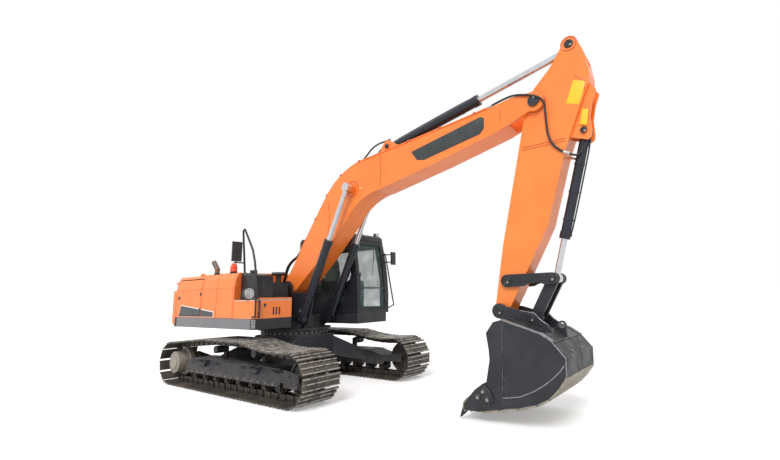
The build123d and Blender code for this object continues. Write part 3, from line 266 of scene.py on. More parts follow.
bare = (0.36, 0.34, 0.32)
steel_coat = Coat("bare_steel", "bare_steel", (0.42, 0.41, 0.39), 0.42, 0.85)
bare_steel = steel_coat.mottled((0.26, 0.22, 0.18), 16, 0.7).grained(500, 0.15, 0.0004).sheen_between(
    0.3, 0.55, 20).material
shoe_coat = Coat("track_shoe_steel", "track_steel", (0.060, 0.054, 0.049), 0.55, 0.35)
rubbed = shoe_coat.nodes.new("ShaderNodeAttribute")
rubbed.attribute_name = "rub"
shoe_coat.mottled((0.105, 0.090, 0.074), 5, 0.8)
shoe_coat.over(shoe_coat.maths("MULTIPLY", shoe_coat.ramp(shoe_coat.noise(3.5, 6), 0.42, 0.7, 0, 0.5),
                               shoe_coat.maths("SUBTRACT", 1.0, rubbed.outputs["Fac"])), (0.20, 0.17, 0.13))
shoe_coat.over(shoe_coat.maths("MULTIPLY", rubbed.outputs["Fac"],
                               shoe_coat.ramp(shoe_coat.noise(11, 5), 0.36, 0.55, 0.25, 1)),
                               (0.46, 0.44, 0.41))
track_shoe_steel = shoe_coat.grained(120, 0.45, 0.0016).sheen_between(0.34, 0.62, 9).material


def piece_of(name, bm, finish, body, crease=38):
    """Shaped metal, rubber or plastic, fixed to a body."""
    bmesh.ops.remove_doubles(bm, verts=bm.verts, dist=2e-5)
    bmesh.ops.dissolve_degenerate(bm, edges=bm.edges, dist=2e-5)
    bmesh.ops.recalc_face_normals(bm, faces=bm.faces)
    for face in bm.faces:
        face.smooth = True
    for edge in bm.edges:
        if len(edge.link_faces) != 2 or edge.calc_face_angle() > math.radians(crease):
            edge.smooth = False
    mesh = bpy.data.meshes.new(name)
    bm.to_mesh(mesh)
    bm.free()
    mesh.materials.append(finish)
    piece = bpy.data.objects.new(name, mesh)
    bpy.context.scene.collection.objects.link(piece)
    if body:
        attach(piece, body)
    return piece


def cut_plate(bm, outline, depth, bevel=2.0):
    """A plate from its outline, a list of points in metres, swept by a vector, its edges broken."""
    shape = bmesh.new()
    verts = [shape.verts.new(p) for p in outline]
    face = shape.faces.new(verts)
    swept = bmesh.ops.extrude_face_region(shape, geom=[face])
    bmesh.ops.translate(shape, verts=[v for v in swept["geom"] if isinstance(v, bmesh.types.BMVert)],
                        vec=depth)
    bmesh.ops.recalc_face_normals(shape, faces=shape.faces)
    if bevel:
        bmesh.ops.bevel(shape, geom=shape.edges[:], offset=bevel / 1000, segments=2, profile=0.6,
                        affect="EDGES", clamp_overlap=True)
    other = bpy.data.meshes.new("cut")
    shape.to_mesh(other)
    shape.free()
    bm.from_mesh(other)
    bpy.data.meshes.remove(other)


def turn(bm, centre, axis, profile, steps=32, hollow=False):
    """A turned thing from radius and distance pairs in millimetres, along an axis from a centre in metres."""
    frame_turn = axis.to_track_quat("Z", "X").to_matrix()
    rings = []
    for radius, along in profile:
        if radius < 0.01:
            rings.append([bm.verts.new(centre + frame_turn @ Vector((0, 0, along / 1000)))])
            continue
        ring = []
        for i in range(steps):
            angle = 2 * math.pi * i / steps
            ring.append(bm.verts.new(centre + frame_turn @ Vector(
                (radius * math.cos(angle) / 1000, radius * math.sin(angle) / 1000, along / 1000))))
        rings.append(ring)
    for low, high in zip(rings, rings[1:] + (rings[:1] if hollow else [])):
        for i in range(steps):
            j = (i + 1) % steps
            corners = []
            for vert in (low[i % len(low)], low[j % len(low)], high[j % len(high)], high[i % len(high)]):
                if vert not in corners:
                    corners.append(vert)
            if len(corners) > 2:
                bm.faces.new(corners)
    for ring in () if hollow else (rings[0], rings[-1]):
        if len(ring) > 2:
            bm.faces.new(ring)


def layout():
    """The layout that sets a piece out at marked points, each turned and sized as its mark says."""
    tree = bpy.data.node_groups.new("set_out", "GeometryNodeTree")
    for name, kind in (("Marks", "NodeSocketGeometry"), ("Piece", "NodeSocketObject"),
                       ("Finish", "NodeSocketMaterial"), ("Looseness", "NodeSocketFloat"),
                       ("Seed", "NodeSocketInt")):
        tree.interface.new_socket(name, in_out="INPUT", socket_type=kind)
    tree.interface.new_socket("Copies", in_out="OUTPUT", socket_type="NodeSocketGeometry")
    nodes, links = tree.nodes, tree.links
    given = nodes.new("NodeGroupInput")
    result = nodes.new("NodeGroupOutput")
    source = nodes.new("GeometryNodeObjectInfo")
    source.inputs["As Instance"].default_value = True
    links.new(given.outputs["Piece"], source.inputs["Object"])
    marked_turn = nodes.new("GeometryNodeInputNamedAttribute")
    marked_turn.data_type = "FLOAT_VECTOR"
    marked_turn.inputs["Name"].default_value = "turn"
    marked_size = nodes.new("GeometryNodeInputNamedAttribute")
    marked_size.data_type = "FLOAT_VECTOR"
    marked_size.inputs["Name"].default_value = "size"
    shake = nodes.new("FunctionNodeRandomValue")
    shake.data_type = "FLOAT_VECTOR"
    shake.inputs["Min"].default_value = (-1, -1, -1)
    links.new(given.outputs["Seed"], shake.inputs["Seed"])
    shake_scaled = nodes.new("ShaderNodeVectorMath")
    shake_scaled.operation = "SCALE"
    links.new(shake.outputs["Value"], shake_scaled.inputs[0])
    links.new(given.outputs["Looseness"], shake_scaled.inputs["Scale"])
    whole_turn = nodes.new("ShaderNodeVectorMath")
    links.new(marked_turn.outputs["Attribute"], whole_turn.inputs[0])
    links.new(shake_scaled.outputs["Vector"], whole_turn.inputs[1])
    as_turn = nodes.new("FunctionNodeEulerToRotation")
    links.new(whole_turn.outputs["Vector"], as_turn.inputs["Euler"])
    copies = nodes.new("GeometryNodeInstanceOnPoints")
    links.new(given.outputs["Marks"], copies.inputs["Points"])
    links.new(source.outputs["Geometry"], copies.inputs["Instance"])
    links.new(as_turn.outputs["Rotation"], copies.inputs["Rotation"])
    links.new(marked_size.outputs["Attribute"], copies.inputs["Scale"])
    joined = nodes.new("GeometryNodeRealizeInstances")
    links.new(copies.outputs["Instances"], joined.inputs["Geometry"])
    painted = nodes.new("GeometryNodeSetMaterial")
    links.new(joined.outputs["Geometry"], painted.inputs["Geometry"])
    links.new(given.outputs["Finish"], painted.inputs["Material"])
    links.new(painted.outputs["Geometry"], result.inputs["Copies"])
    return tree


set_out_tree = layout()
sockets = {item.name: item.identifier
           for item in set_out_tree.interface.items_tree if item.in_out == "INPUT"}


def set_out(name, piece, marks, finish, body, looseness=0.0, seed=1):
    """Copies of a piece at marks, each a place in metres, an axis or turn, and a size."""
    mesh = bpy.data.meshes.new(name)
    mesh.from_pydata([mark[0] for mark in marks], [], [])
    turns = mesh.attributes.new("turn", "FLOAT_VECTOR", "POINT")
    sizes = mesh.attributes.new("size", "FLOAT_VECTOR", "POINT")
    for i, mark in enumerate(marks):
        axis = mark[1]
        turns.data[i].vector = axis.to_track_quat("Z", "Y").to_euler() if isinstance(axis, Vector) else axis
        size = mark[2] if len(mark) > 2 else 1.0
        sizes.data[i].vector = (size, size, size) if isinstance(size, (int, float)) else size
    holder = bpy.data.objects.new(name, mesh)
    bpy.context.scene.collection.objects.link(holder)
    maker = holder.modifiers.new("set_out", "NODES")
    maker.node_group = set_out_tree
    maker[sockets["Piece"]] = piece
    maker[sockets["Finish"]] = finish
    maker[sockets["Looseness"]] = looseness
    maker[sockets["Seed"]] = seed
    bpy.context.view_layer.update()
    made = bpy.data.meshes.new_from_object(holder.evaluated_get(bpy.context.evaluated_depsgraph_get()))
    holder.modifiers.clear()
    holder.data = made
    made.name = name
    bpy.data.meshes.remove(mesh)
    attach(holder, body)
    return holder


def pattern(name, bm):
    """A piece that only its copies show."""
    piece = piece_of(name, bm, bare_steel, None)
    bpy.context.scene.collection.objects.unlink(piece)
    return piece


wheel_place = (1825, 397)
pin_circle = 315
carrier_place = (600, 808)
slack = 52
shoe_count = 49
track_middle = 1195


def arc_points(centre, radius, first, last, steps=200):
    """Points along an arc, angles in degrees."""
    return [(centre[0] + radius * math.cos(math.radians(first + (last - first) * i / steps)),
             centre[1] + radius * math.sin(math.radians(first + (last - first) * i / steps)))
            for i in range(steps + 1)]


def bow(start, through, end, steps=200):
    """Points along the arc through three points."""
    (ax, az), (bx, bz), (cx, cz) = start, through, end
    d = 2 * (ax * (bz - cz) + bx * (cz - az) + cx * (az - bz))
    ux = ((ax**2 + az**2) * (bz - cz) + (bx**2 + bz**2) * (cz - az) + (cx**2 + cz**2) * (az - bz)) / d
    uz = ((ax**2 + az**2) * (cx - bx) + (bx**2 + bz**2) * (ax - cx) + (cx**2 + cz**2) * (bx - ax)) / d
    first = math.degrees(math.atan2(az - uz, ax - ux))
    last = math.degrees(math.atan2(cz - uz, cx - ux))
    return arc_points((ux, uz), math.hypot(ax - ux, az - uz), first, last, steps)


front_top = (wheel_place[0], wheel_place[1] + pin_circle)
sag_point = ((front_top[0] + carrier_place[0]) / 2, (front_top[1] + carrier_place[1]) / 2 - slack)
loop = arc_points(wheel_place, pin_circle, -90, 90) + bow(front_top, sag_point, carrier_place)
loop += [(-carrier_place[0], carrier_place[1])]
loop += arc_points((-wheel_place[0], wheel_place[1]), pin_circle, 90, 270)
loop += [(wheel_place[0], wheel_place[1] - pin_circle)]
lengths = [0]
for a, b in zip(loop, loop[1:]):
    lengths.append(lengths[-1] + math.dist(a, b))
pins = []
for i in range(shoe_count):
    target = lengths[-1] * i / shoe_count
    k = next(j for j, length in enumerate(lengths[1:]) if length >= target)
    share = (target - lengths[k]) / max(lengths[k + 1] - lengths[k], 1e-9)
    pins.append((loop[k][0] + share * (loop[k + 1][0] - loop[k][0]),
                 loop[k][1] + share * (loop[k + 1][1] - loop[k][1])))

shoe_bm = bmesh.new()
shoe_outline = [(-93, 48), (-93, 57), (-90, 82), (-79, 82), (-75, 59), (-9, 58), (-6, 82), (6, 82), (9, 58),
                (64, 58), (68, 80), (79, 81), (84, 60), (90, 56), (92, 49), (86, 47), (-70, 49)]
cut_plate(shoe_bm, [Vector((x, -350, z)) / 1000 for x, z in shoe_outline], Vector((0, 0.7, 0)), 1.6)
for x in (-42, 36):
    for y in (-71, 71):
        turn(shoe_bm, Vector((x, y, 57)) / 1000, Vector((0, 0, 1)),
             [(17, 0), (17, 4), (14, 4), (14, 13), (12, 15), (0, 15)], 12)
rub = shoe_bm.verts.layers.float.new("rub")
for vert in shoe_bm.verts:
    vert[rub] = min(1.0, max(0.0, (vert.co.z - 0.066) / 0.014))
shoe = pattern("shoe_pattern", shoe_bm)

# Track links
# Cast links in pairs, each cranked so that one end laps inside the next, with a pin and bush at each joint.
# They carry the shoes and run on the rollers.
link_bm = bmesh.new()
for side in (-1, 1):
    for x0, x1, near, far in ((-112, 12, 53, 71), (-12, 112, 70, 89)):
        low, high = sorted((side * near, side * far))
        outline = [(x0, -26), (x0 + 14, -46), (x1 - 14, -46), (x1, -26), (x1, 26), (x1 - 14, 47),
                   (x0 + 14, 47), (x0, 26)]
        cut_plate(link_bm, [Vector((x, low, z)) / 1000 for x, z in outline],
                  Vector((0, (high - low) / 1000, 0)), 2.5)
turn(link_bm, Vector((-95, -92, 0)) / 1000, Vector((0, 1, 0)),
     [(21, 0), (21, 36), (29, 37), (29, 147), (21, 148), (21, 184)], 16)
link = pattern("link_pattern", link_bm)
link_coat = Coat("track_link_steel", "track_steel", (0.045, 0.042, 0.040), 0.5, 0.5)
link_coat.mottled((0.11, 0.085, 0.06), 8, 0.7).edged(bare, 0.01, 0.8)
track_link_steel = link_coat.grained(140, 0.4, 0.0014).sheen_between(0.34, 0.6, 12).material

for side, name in ((-1, "right"), (1, "left")):
    marks = []
    for i, start in enumerate(pins):
        end = pins[(i + 1) % shoe_count]
        angle = math.atan2(end[1] - start[1], end[0] - start[0])
        middle = spot(machine, (start[0] + end[0]) / 2, side * track_middle, (start[1] + end[1]) / 2)
        marks.append((middle, (math.pi, -angle, 0)))
    shoes = set_out("track_shoes_" + name, shoe, marks, track_shoe_steel, "undercarriage")
    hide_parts("track_" + name)
    set_out("track_links_" + name, link, marks, track_link_steel, "undercarriage")

# Sprockets, idlers and rollers
# Cast wheels that stay in the works' own black, worn bright where the chain runs on them.
# The final drive's cover is left in a pale brown primer and is held by rings of hexagon bolts.
dust = (0.46, 0.41, 0.34)
mud = (0.17, 0.135, 0.10)
drive_face = 1425
hub_face = 1270


def finish_nodes(finish, *names):
    """Give nodes of the frame a finish."""
    for name in names:
        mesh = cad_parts[name].data
        mesh.materials.clear()
        mesh.materials.append(finish)


def ring_of(part, x, z, y, count, radius, start=0.0, size=1.0):
    """Marks for bolts on a circle about a pin, facing outwards from the machine's middle."""
    out = Vector((0, math.copysign(1, y), 0))
    marks = []
    for i in range(count):
        angle = start + 2 * math.pi * i / count
        marks.append((spot(part, x + radius * math.cos(angle), y, z + radius * math.sin(angle)), out, size))
    return marks


bolt_bm = bmesh.new()
turn(bolt_bm, Vector(), Vector((0, 0, 1)), [(15, -1), (15, 3), (12.5, 3.6)], 20)
turn(bolt_bm, Vector(), Vector((0, 0, 1)), [(10.5, 2), (11, 3), (11, 9.5), (9.6, 11), (0, 11)], 6)
bolt = pattern("bolt_pattern", bolt_bm)
wheel_coat = Coat("wheel_steel", "black_paint", (0.030, 0.028, 0.027), 0.5, 0.3)
wheel_coat.mottled((0.10, 0.085, 0.065), 6, 0.6).dusty(dust, 0.3, 6).edged(bare, 0.01, 0.9)
wheel_steel = wheel_coat.grained(130, 0.35, 0.0015).sheen_between(0.4, 0.65).material
drive_coat = Coat("drive_cover_paint", "grey_paint", (0.30, 0.26, 0.22))
drive_coat.mottled((0.38, 0.34, 0.29), 7, 0.7).muddy(mud, 0.1, 0.6, 0.5).edged(bare, 0.008, 0.7)
drive_cover_paint = drive_coat.grained(180, 0.25).sheen_between(0.42, 0.62).material
finish_nodes(wheel_steel, "idler_right", "idler_left", "rollers_right", "rollers_left")
finish_nodes(drive_cover_paint, "sprocket_right", "sprocket_left")
for side, name in ((-1, "right"), (1, "left")):
    drive_bm = bmesh.new()
    turn(drive_bm, spot(machine, -wheel_place[0], side * drive_face, wheel_place[1]), Vector((0, side, 0)),
         [(150, 0), (150, 6), (142, 10), (124, 11), (118, 16), (96, 19), (90, 22), (24, 23), (20, 20),
          (0, 20)], 48)
    piece_of("drive_cover_" + name, drive_bm, drive_cover_paint, "undercarriage")
    bolts = ring_of(machine, -wheel_place[0], wheel_place[1], side * (drive_face + 5), 16, 174, 0.1, 0.9)
    bolts += ring_of(machine, -wheel_place[0], wheel_place[1], side * (drive_face + 16), 9, 108, 0.3, 0.6)
    set_out("drive_bolts_" + name, bolt, bolts, bare_steel, "undercarriage")
    hub_bm = bmesh.new()
    turn(hub_bm, spot(machine, wheel_place[0], side * hub_face, wheel_place[1]), Vector((0, side, 0)),
         [(150, 0), (150, 14), (120, 20), (84, 22), (80, 30), (60, 34), (0, 34)], 40)
    piece_of("idler_hub_" + name, hub_bm, wheel_steel, "undercarriage")

# Track frames
# Box beams of welded plate. Ribbed step pads are welded on for climbing, and a guard stands in front.
# The oval holes in the side and the guard's square hole for greasing the track adjuster are not cut:
# thin near-black sheets on the surface give them as painted shade.
frame_side = 1400
step_places = (-700, 880)
hole_places = (-300, 500)
under_coat = Coat("undercarriage_paint", "black_paint", (0.014, 0.016, 0.022))
under_coat.mottled((0.024, 0.026, 0.031), 2.6, 0.8).dusty(dust, 0.24, 5).muddy(mud, 0.02, 0.55, 0.55)
under_coat.edged(bare, 0.008, 0.4)
undercarriage_paint = under_coat.grained(180, 0.2).sheen_between(0.42, 0.68).material
# Near-black sheets stand where the frames have holes: painted shade for the insides of the holes.
hole_shade_coat = Coat("painted_hole_shade", "dark_paint", (0.008, 0.008, 0.008), 0.8)
hole_shade_coat.mottled((0.014, 0.013, 0.012), 20, 0.5)
painted_hole_shade = hole_shade_coat.grained(200, 0.3).sheen_between(0.7, 0.9).material


def line_mesh(points, radius, smooth=True, sides=3):
    """A tube round a line of points in metres, as a mesh."""
    data = bpy.data.curves.new("line", "CURVE")
    data.dimensions = "3D"
    data.bevel_depth = radius / 1000
    data.bevel_resolution = sides
    data.use_fill_caps = True
    data.resolution_u = 8
    spline = data.splines.new("NURBS" if smooth else "POLY")
    spline.points.add(len(points) - 1)
    for point, where in zip(spline.points, points):
        point.co = (*where, 1)
    if smooth:
        spline.order_u = 3
        spline.use_endpoint_u = True
    holder = bpy.data.objects.new("line", data)
    bpy.context.scene.collection.objects.link(holder)
    bpy.context.view_layer.update()
    mesh = bpy.data.meshes.new_from_object(holder.evaluated_get(bpy.context.evaluated_depsgraph_get()))
    bpy.data.objects.remove(holder)
    bpy.data.curves.remove(data)
    return mesh


def pipe(bm, part, points, radius, smooth=True, sides=3):
    """A pipe, hose or bar through points on one part."""
    mesh = line_mesh([spot(part, *p) for p in points], radius, smooth, sides)
    bm.from_mesh(mesh)
    bpy.data.meshes.remove(mesh)


def plate(bm, part, corners, y0, y1, bevel=2.0):
    """A plate drawn in the side view, from y0 to y1 across."""
    cut_plate(bm, [spot(part, x, y0, z) for x, z in corners], spot(part, 0, y1, 0) - spot(part, 0, y0, 0),
              bevel)


def brick(bm, part, x0, x1, y0, y1, z0, z1, bevel=2.0):
    """A block between these places."""
    plate(bm, part, [(x0, z0), (x1, z0), (x1, z1), (x0, z1)], y0, y1, bevel)


finish_nodes(undercarriage_paint, "track_frame_right", "track_frame_left", "carbody", "slew_ring")
for side, name in ((-1, "right"), (1, "left")):
    step_bm, hole_shade_bm = bmesh.new(), bmesh.new()
    for x in step_places:
        for i in range(6):
            rib = sorted((side * (frame_side + 4), side * (frame_side + 66)))
            brick(step_bm, machine, x - 96 + i * 34, x - 84 + i * 34, *rib, 508, 516, 2)
        for rim_x in (x - 110, x + 104):
            rim = sorted((side * (frame_side - 2), side * (frame_side + 68)))
            brick(step_bm, machine, rim_x, rim_x + 6, *rim, 482, 514, 1.5)
        plate(step_bm, machine, [(x - 30, 484), (x + 30, 484), (x + 16, 400), (x - 16, 400)],
              side * (frame_side - 2), side * (frame_side + 40), 3)
    # The oval holes and then the guard's square hole, each a thin near-black sheet of painted shade, not a
    # cut.
    for x in hole_places:
        outline = [(x + 95 * math.cos(a), 470 + 26 * math.sin(a))
                   for a in (i * math.tau / 24 for i in range(24))]
        plate(hole_shade_bm, machine, outline, side * (frame_side - 3), side * (frame_side + 1.5), 0.5)
    plate(hole_shade_bm, machine, [(1690, 400), (1750, 400), (1750, 452), (1690, 452)],
          side * (frame_side - 3), side * (frame_side + 5.5), 0.5)
    plate(step_bm, machine, [(1570, 262), (1900, 262), (1900, 470), (1600, 512), (1570, 512)],
          side * (frame_side - 2), side * (frame_side + 5), 2)
    brick(step_bm, machine, 1480, 1900, *sorted((side * (frame_side - 2), side * (frame_side + 22))),
          330, 346, 3)
    for height in (312, 514):
        pipe(step_bm, machine, [(-1380, side * frame_side, height), (1470, side * frame_side, height)],
             5, False, 2)
    piece_of("frame_steps_" + name, step_bm, undercarriage_paint, "undercarriage")
    piece_of("frame_holes_" + name, hole_shade_bm, painted_hole_shade, "undercarriage")
    marks = [(spot(machine, x, side * (frame_side + 1), 285), Vector((0, side, 0)), 0.9)
             for x in range(-1350, 1500, 190)]
    set_out("roller_bolts_" + name, bolt, marks, bare_steel, "undercarriage")

# Slew ring
# The ring is bolted to the carbody all round, between two raised lips that keep the dirt out.
ring_radius = 640
ring_bolts = 40
marks = [(spot(machine, ring_radius * math.cos(a), ring_radius * math.sin(a), 925),
          Vector((math.cos(a), math.sin(a), 0)), 0.9)
         for a in (i * math.tau / ring_bolts for i in range(ring_bolts))]
set_out("slew_bolts", bolt, marks, bare_steel, "undercarriage")
ring_bm = bmesh.new()
turn(ring_bm, spot(machine, 0, 0, 880), Vector((0, 0, 1)),
     [(ring_radius - 2, 0), (ring_radius + 6, 3), (ring_radius + 6, 16), (ring_radius - 2, 20)], 96, True)
turn(ring_bm, spot(machine, 0, 0, 948), Vector((0, 0, 1)),
     [(ring_radius - 2, 0), (ring_radius + 5, 2), (ring_radius + 5, 12), (ring_radius - 2, 14)], 96, True)
piece_of("slew_ring_lips", ring_bm, wheel_steel, "undercarriage")

# Deck
# The swinging frame is welded plate painted black, with a grey skirt of sheet bolted along the right side
# and pale dotted treads at its front corner.


def band(coat, low, high, axis, soft=0.002):
    """One inside two planes along an axis, in metres, and nought outside."""
    return coat.maths("MULTIPLY", coat.ramp(coat.axis(axis), low - soft, low + soft),
                      coat.ramp(coat.axis(axis), high - soft, high + soft, 1, 0))


def place_x(x):
    """Metres along the machine from millimetres forward of the swing axis."""
    return (swing_x + x) / 1000


white_coat = Coat("pale_fitting", "grey_paint", (0.62, 0.62, 0.60), 0.4, 0.3)
pale_fitting = white_coat.mottled((0.42, 0.41, 0.39), 30, 0.7).grained(500, 0.12, 0.0003).sheen_between(
    0.3, 0.5, 30).material
deck_coat = Coat("deck_paint", "dark_paint", (0.014, 0.016, 0.020))
deck_coat.mottled((0.030, 0.032, 0.036), 2.4, 0.7)
skirt = deck_coat.maths("MULTIPLY", band(deck_coat, place_x(-2040), place_x(560), "X"),
                        band(deck_coat, 1.068, 1.243, "Z"))
skirt = deck_coat.maths("MULTIPLY", skirt, deck_coat.ramp(deck_coat.axis("Y"), -1.352, -1.349, 1, 0))
deck_coat.over(skirt, (0.19, 0.19, 0.20))
deck_coat.dusty(dust, 0.35).edged(bare, 0.006, 0.5)
deck_paint = deck_coat.grained(240, 0.15).sheen_between(0.38, 0.6).material
finish_nodes(deck_paint, "upper_frame")
tooth_bm = bmesh.new()
turn(tooth_bm, Vector(), Vector((0, 0, 1)), [(11, 0), (9, 3), (5, 3.6), (4, 2), (0, 2)], 12)
tooth = pattern("tread_tooth_pattern", tooth_bm)
marks = [(spot(machine, x, -1354, z), Vector((0, -1, 0)), 0.8) for x in range(600, 700, 24)
         for z in range(1100, 1225, 24)]
set_out("corner_treads", tooth, marks, pale_fitting, "upper")
skirt_bm = bmesh.new()
for x in (-1420, -780, -140):
    brick(skirt_bm, machine, x - 3, x + 3, -1354, -1350, 1070, 1242, 0.8)
piece_of("skirt_joints", skirt_bm, deck_paint, "upper")
marks = [(spot(machine, x, -1353, z), Vector((0, -1, 0)), 0.4) for x in range(-1980, 560, 320)
         for z in (1084, 1228)]
set_out("skirt_bolts", bolt, marks, bare_steel, "upper")

# Counterweight and tail lamps
# One heavy casting with a round back, painted orange over primer and bolted to the back of the deck.
# A red lamp is let into each side of it.


def orange_coat(name):
    """Deep orange machine paint, one coat over primer."""
    coat = Coat(name, "orange_paint", (0.90, 0.205, 0.028))
    coat.mottled((0.95, 0.27, 0.05), 1.1, 0.55).mottled((0.72, 0.14, 0.02), 6.0, 0.16)
    return coat.dusty(dust, 0.22)


def orange_finish(coat):
    """The last layers of an orange piece, after any panels painted on it."""
    coat.edged((0.30, 0.09, 0.04), 0.005, 0.6).grained(320, 0.10).sheen_between(0.28, 0.46)
    coat.shader.inputs["Coat Weight"].default_value = 0.25
    coat.shader.inputs["Coat Roughness"].default_value = 0.12
    return coat.material


orange = orange_finish(orange_coat("orange_paint"))
amber_coat = Coat("lamp_amber", "lamp_amber", (0.80, 0.10, 0.03), 0.18)
lamp_amber = amber_coat.mottled((0.62, 0.06, 0.02), 30, 0.5).grained(260, 0.2, 0.0006).sheen_between(
    0.12, 0.25, 25).material
finish_nodes(orange, "counterweight")
tail_corner, tail_end, tail_half = -2250, -2750, 1355
tail_centre = (tail_corner ** 2 + tail_half ** 2 - tail_end ** 2) / (2 * (tail_corner - tail_end))
tail_bm = bmesh.new()
for side in (-1, 1):
    corners = []
    for y, z in ((760, 1560), (1000, 1560), (1000, 1640), (760, 1640)):
        x = tail_centre - math.sqrt((tail_centre - tail_end) ** 2 - y ** 2)
        corners.append(spot(machine, x + 1, side * y, z))
    cut_plate(tail_bm, corners, Vector((-0.010, side * 0.004, 0)), 1.5)
piece_of("tail_lamps", tail_bm, lamp_amber, "upper")

# House and side doors
# Folded and welded steel sheet in orange, creased along its side, with slim gaps round the doors.
# A darker band along the crease and another down the corner at the swing axis are painted shade.
# Low on each side is a bare badge, a dark field with a pale rim. Each door has two hinges and a round latch.
house_side = 1352
orange_seam = orange_finish(Coat("orange_seam", "orange_paint",
                                 (0.52, 0.075, 0.012)).mottled((0.66, 0.12, 0.02), 9))
black_coat = Coat("black_paint", "black_paint", (0.009, 0.010, 0.014))
black_coat.mottled((0.019, 0.021, 0.026), 2.2, 0.8).dusty(dust, 0.10).edged(bare, 0.005, 0.35)
black_paint = black_coat.grained(300, 0.12).sheen_between(0.34, 0.55).material
plastic_coat = Coat("black_plastic", "black_plastic", (0.018, 0.019, 0.021))
black_plastic = plastic_coat.mottled((0.035, 0.036, 0.039), 8, 0.6).dusty(dust, 0.16, 12).grained(
    850, 0.3, 0.0004).sheen_between(0.42, 0.62, 10).material
badge_low, badge_high = (-1980, 1262), (-640, 1500)
badge_rim = 16
badge_slant, badge_fall = 0.36, 0.10


def badged(coat):
    """The bare badge: a dark field with a pale rim above and in front, its top falling towards the front."""
    along, height = coat.axis("X"), coat.axis("Z")
    leaning = coat.maths("ADD", along, coat.maths("MULTIPLY", height, -badge_slant))
    falling = coat.maths("ADD", height, coat.maths("MULTIPLY", along, badge_fall))
    outer = coat.ramp(coat.maths("ABSOLUTE", coat.axis("Y"), 0.0), (house_side - 2) / 1000,
                      house_side / 1000)
    for rim, colour in ((0, (0.78, 0.78, 0.76)), (badge_rim, (0.030, 0.033, 0.036))):
        rear = place_x(badge_low[0] + rim / 4) - badge_slant * badge_low[1] / 1000
        front = place_x(badge_high[0] - rim)
        top = (badge_high[1] - rim) / 1000 + badge_fall * place_x(badge_low[0])
        low = (badge_low[1] + rim / 4) / 1000
        inside = coat.maths("MULTIPLY", coat.ramp(leaning, rear - 0.002, rear + 0.002),
                            coat.ramp(along, front - 0.002, front + 0.002, 1, 0))
        inside = coat.maths("MULTIPLY", inside, coat.ramp(falling, top - 0.002, top + 0.002, 1, 0))
        inside = coat.maths("MULTIPLY", inside, coat.ramp(height, low - 0.002, low + 0.002))
        coat.over(coat.maths("MULTIPLY", inside, outer), colour)
    return coat


house_coat = badged(orange_coat("house_paint"))
# Painted shade: a darker band along the crease near the top of each side, then one down the corner at the
# swing axis.
crease = band(house_coat, 1.772, 1.784, "Z", 0.004)
house_coat.over(house_coat.maths("MULTIPLY", crease, 0.7), (0.55, 0.08, 0.012))
corner_shade = band(house_coat, place_x(-40), place_x(40), "X", 0.004)
house_coat.over(house_coat.maths("MULTIPLY", corner_shade, 0.55), (0.66, 0.10, 0.014))
house_paint = orange_finish(house_coat)
finish_nodes(house_paint, "engine_house", "pump_door", "radiator_door")

seam_bm = bmesh.new()
for side in (-1, 1):
    for x in (-2122, -1098, -505 if side > 0 else -560):
        pipe(seam_bm, machine, [(x, side * house_side, 1250), (x, side * house_side, 1775),
                                (x, side * 1322, 1950), (x, side * 1268, 2043)], 7, False, 2)
    pipe(seam_bm, machine, [(-2120, side * house_side, 1250),
                            (-480 if side > 0 else 22, side * house_side, 1250)], 7, False, 2)
piece_of("house_seams", seam_bm, orange_seam, "upper")

for side, name in ((-1, "pump_door"), (1, "radiator_door")):
    hinge_bm, latch_bm = bmesh.new(), bmesh.new()
    for z in (1400, 1690):
        turn(hinge_bm, spot(machine, -1130, side * house_side, z - 34), Vector((0, 0, 1)),
             [(11, 0), (11, 22), (10, 23), (10, 24), (11, 25), (11, 68)], 16)
        brick(hinge_bm, machine, -1176, -1134, *sorted((side * (house_side - 4), side * (house_side + 4))),
              z - 26, z + 26, 1.5)
    brick(latch_bm, machine, -2040, -1960, *sorted((side * (house_side - 2), side * (house_side + 5))),
          1598, 1662, 6)
    turn(latch_bm, spot(machine, -2000, side * (house_side + 3), 1630), Vector((0, side, 0)),
         [(20, 0), (20, 3), (14, 5), (5, 5), (4, 3), (0, 3)], 24)
    piece_of(name + "_hinges", hinge_bm, black_paint, name)
    piece_of(name + "_latch", latch_bm, black_plastic, name)
# Only the radiator's door on the left has air slots.
slot_bm = bmesh.new()
cut_plate(slot_bm, [Vector((x, y, 0)) / 1000 for x, y in ((-150, -9), (150, -9), (158, 0), (150, 9),
                                                          (-150, 9), (-158, 0))],
          Vector((0, 0, 0.004)), 1)
slot_piece = pattern("air_slot_radiator_door", slot_bm)
marks = [(spot(machine, x, house_side + 3, z), Vector((0, 1, 0)))
         for x in (-1830, -1480) for z in (1560, 1600, 1640, 1680, 1720)]
set_out("air_slots_radiator_door", slot_piece, marks, black_plastic, "radiator_door")

# Engine and hood
# A cast engine stands under a pressed lid, which has a grab handle at the back, two strap hinges at the
# front and a field of air slots.
engine_coat = Coat("cast_engine", "cast_engine", (0.10, 0.11, 0.12), 0.6, 0.4)
cast_engine = engine_coat.mottled((0.05, 0.05, 0.05), 9, 0.7).dusty(dust, 0.3).grained(
    160, 0.5, 0.002).sheen_between(0.5, 0.75).material
finish_nodes(cast_engine, "engine")
finish_nodes(orange, "engine_hood")
hood_bm = bmesh.new()
pipe(hood_bm, machine, [(-2000, -120, 2100), (-2000, -120, 2113), (-2000, 120, 2113), (-2000, 120, 2100)],
     7, False, 2)
for y in (-560, 600):
    brick(hood_bm, machine, -960, -874, y - 40, y + 40, 2108, 2116, 2)
piece_of("hood_fittings", hood_bm, black_paint, "engine_hood")
vent_bm = bmesh.new()
cut_plate(vent_bm, [Vector((x, y, 0)) / 1000 for x, y in ((-10, -330), (10, -330), (10, 330), (-10, 330))],
          Vector((0, 0, 0.003)), 1)
vent = pattern("hood_slot_pattern", vent_bm)
set_out("hood_slots", vent, [(spot(machine, x, 35, 2114), (0, 0, 0)) for x in range(-1900, -1100, 50)],
        black_plastic, "engine_hood")

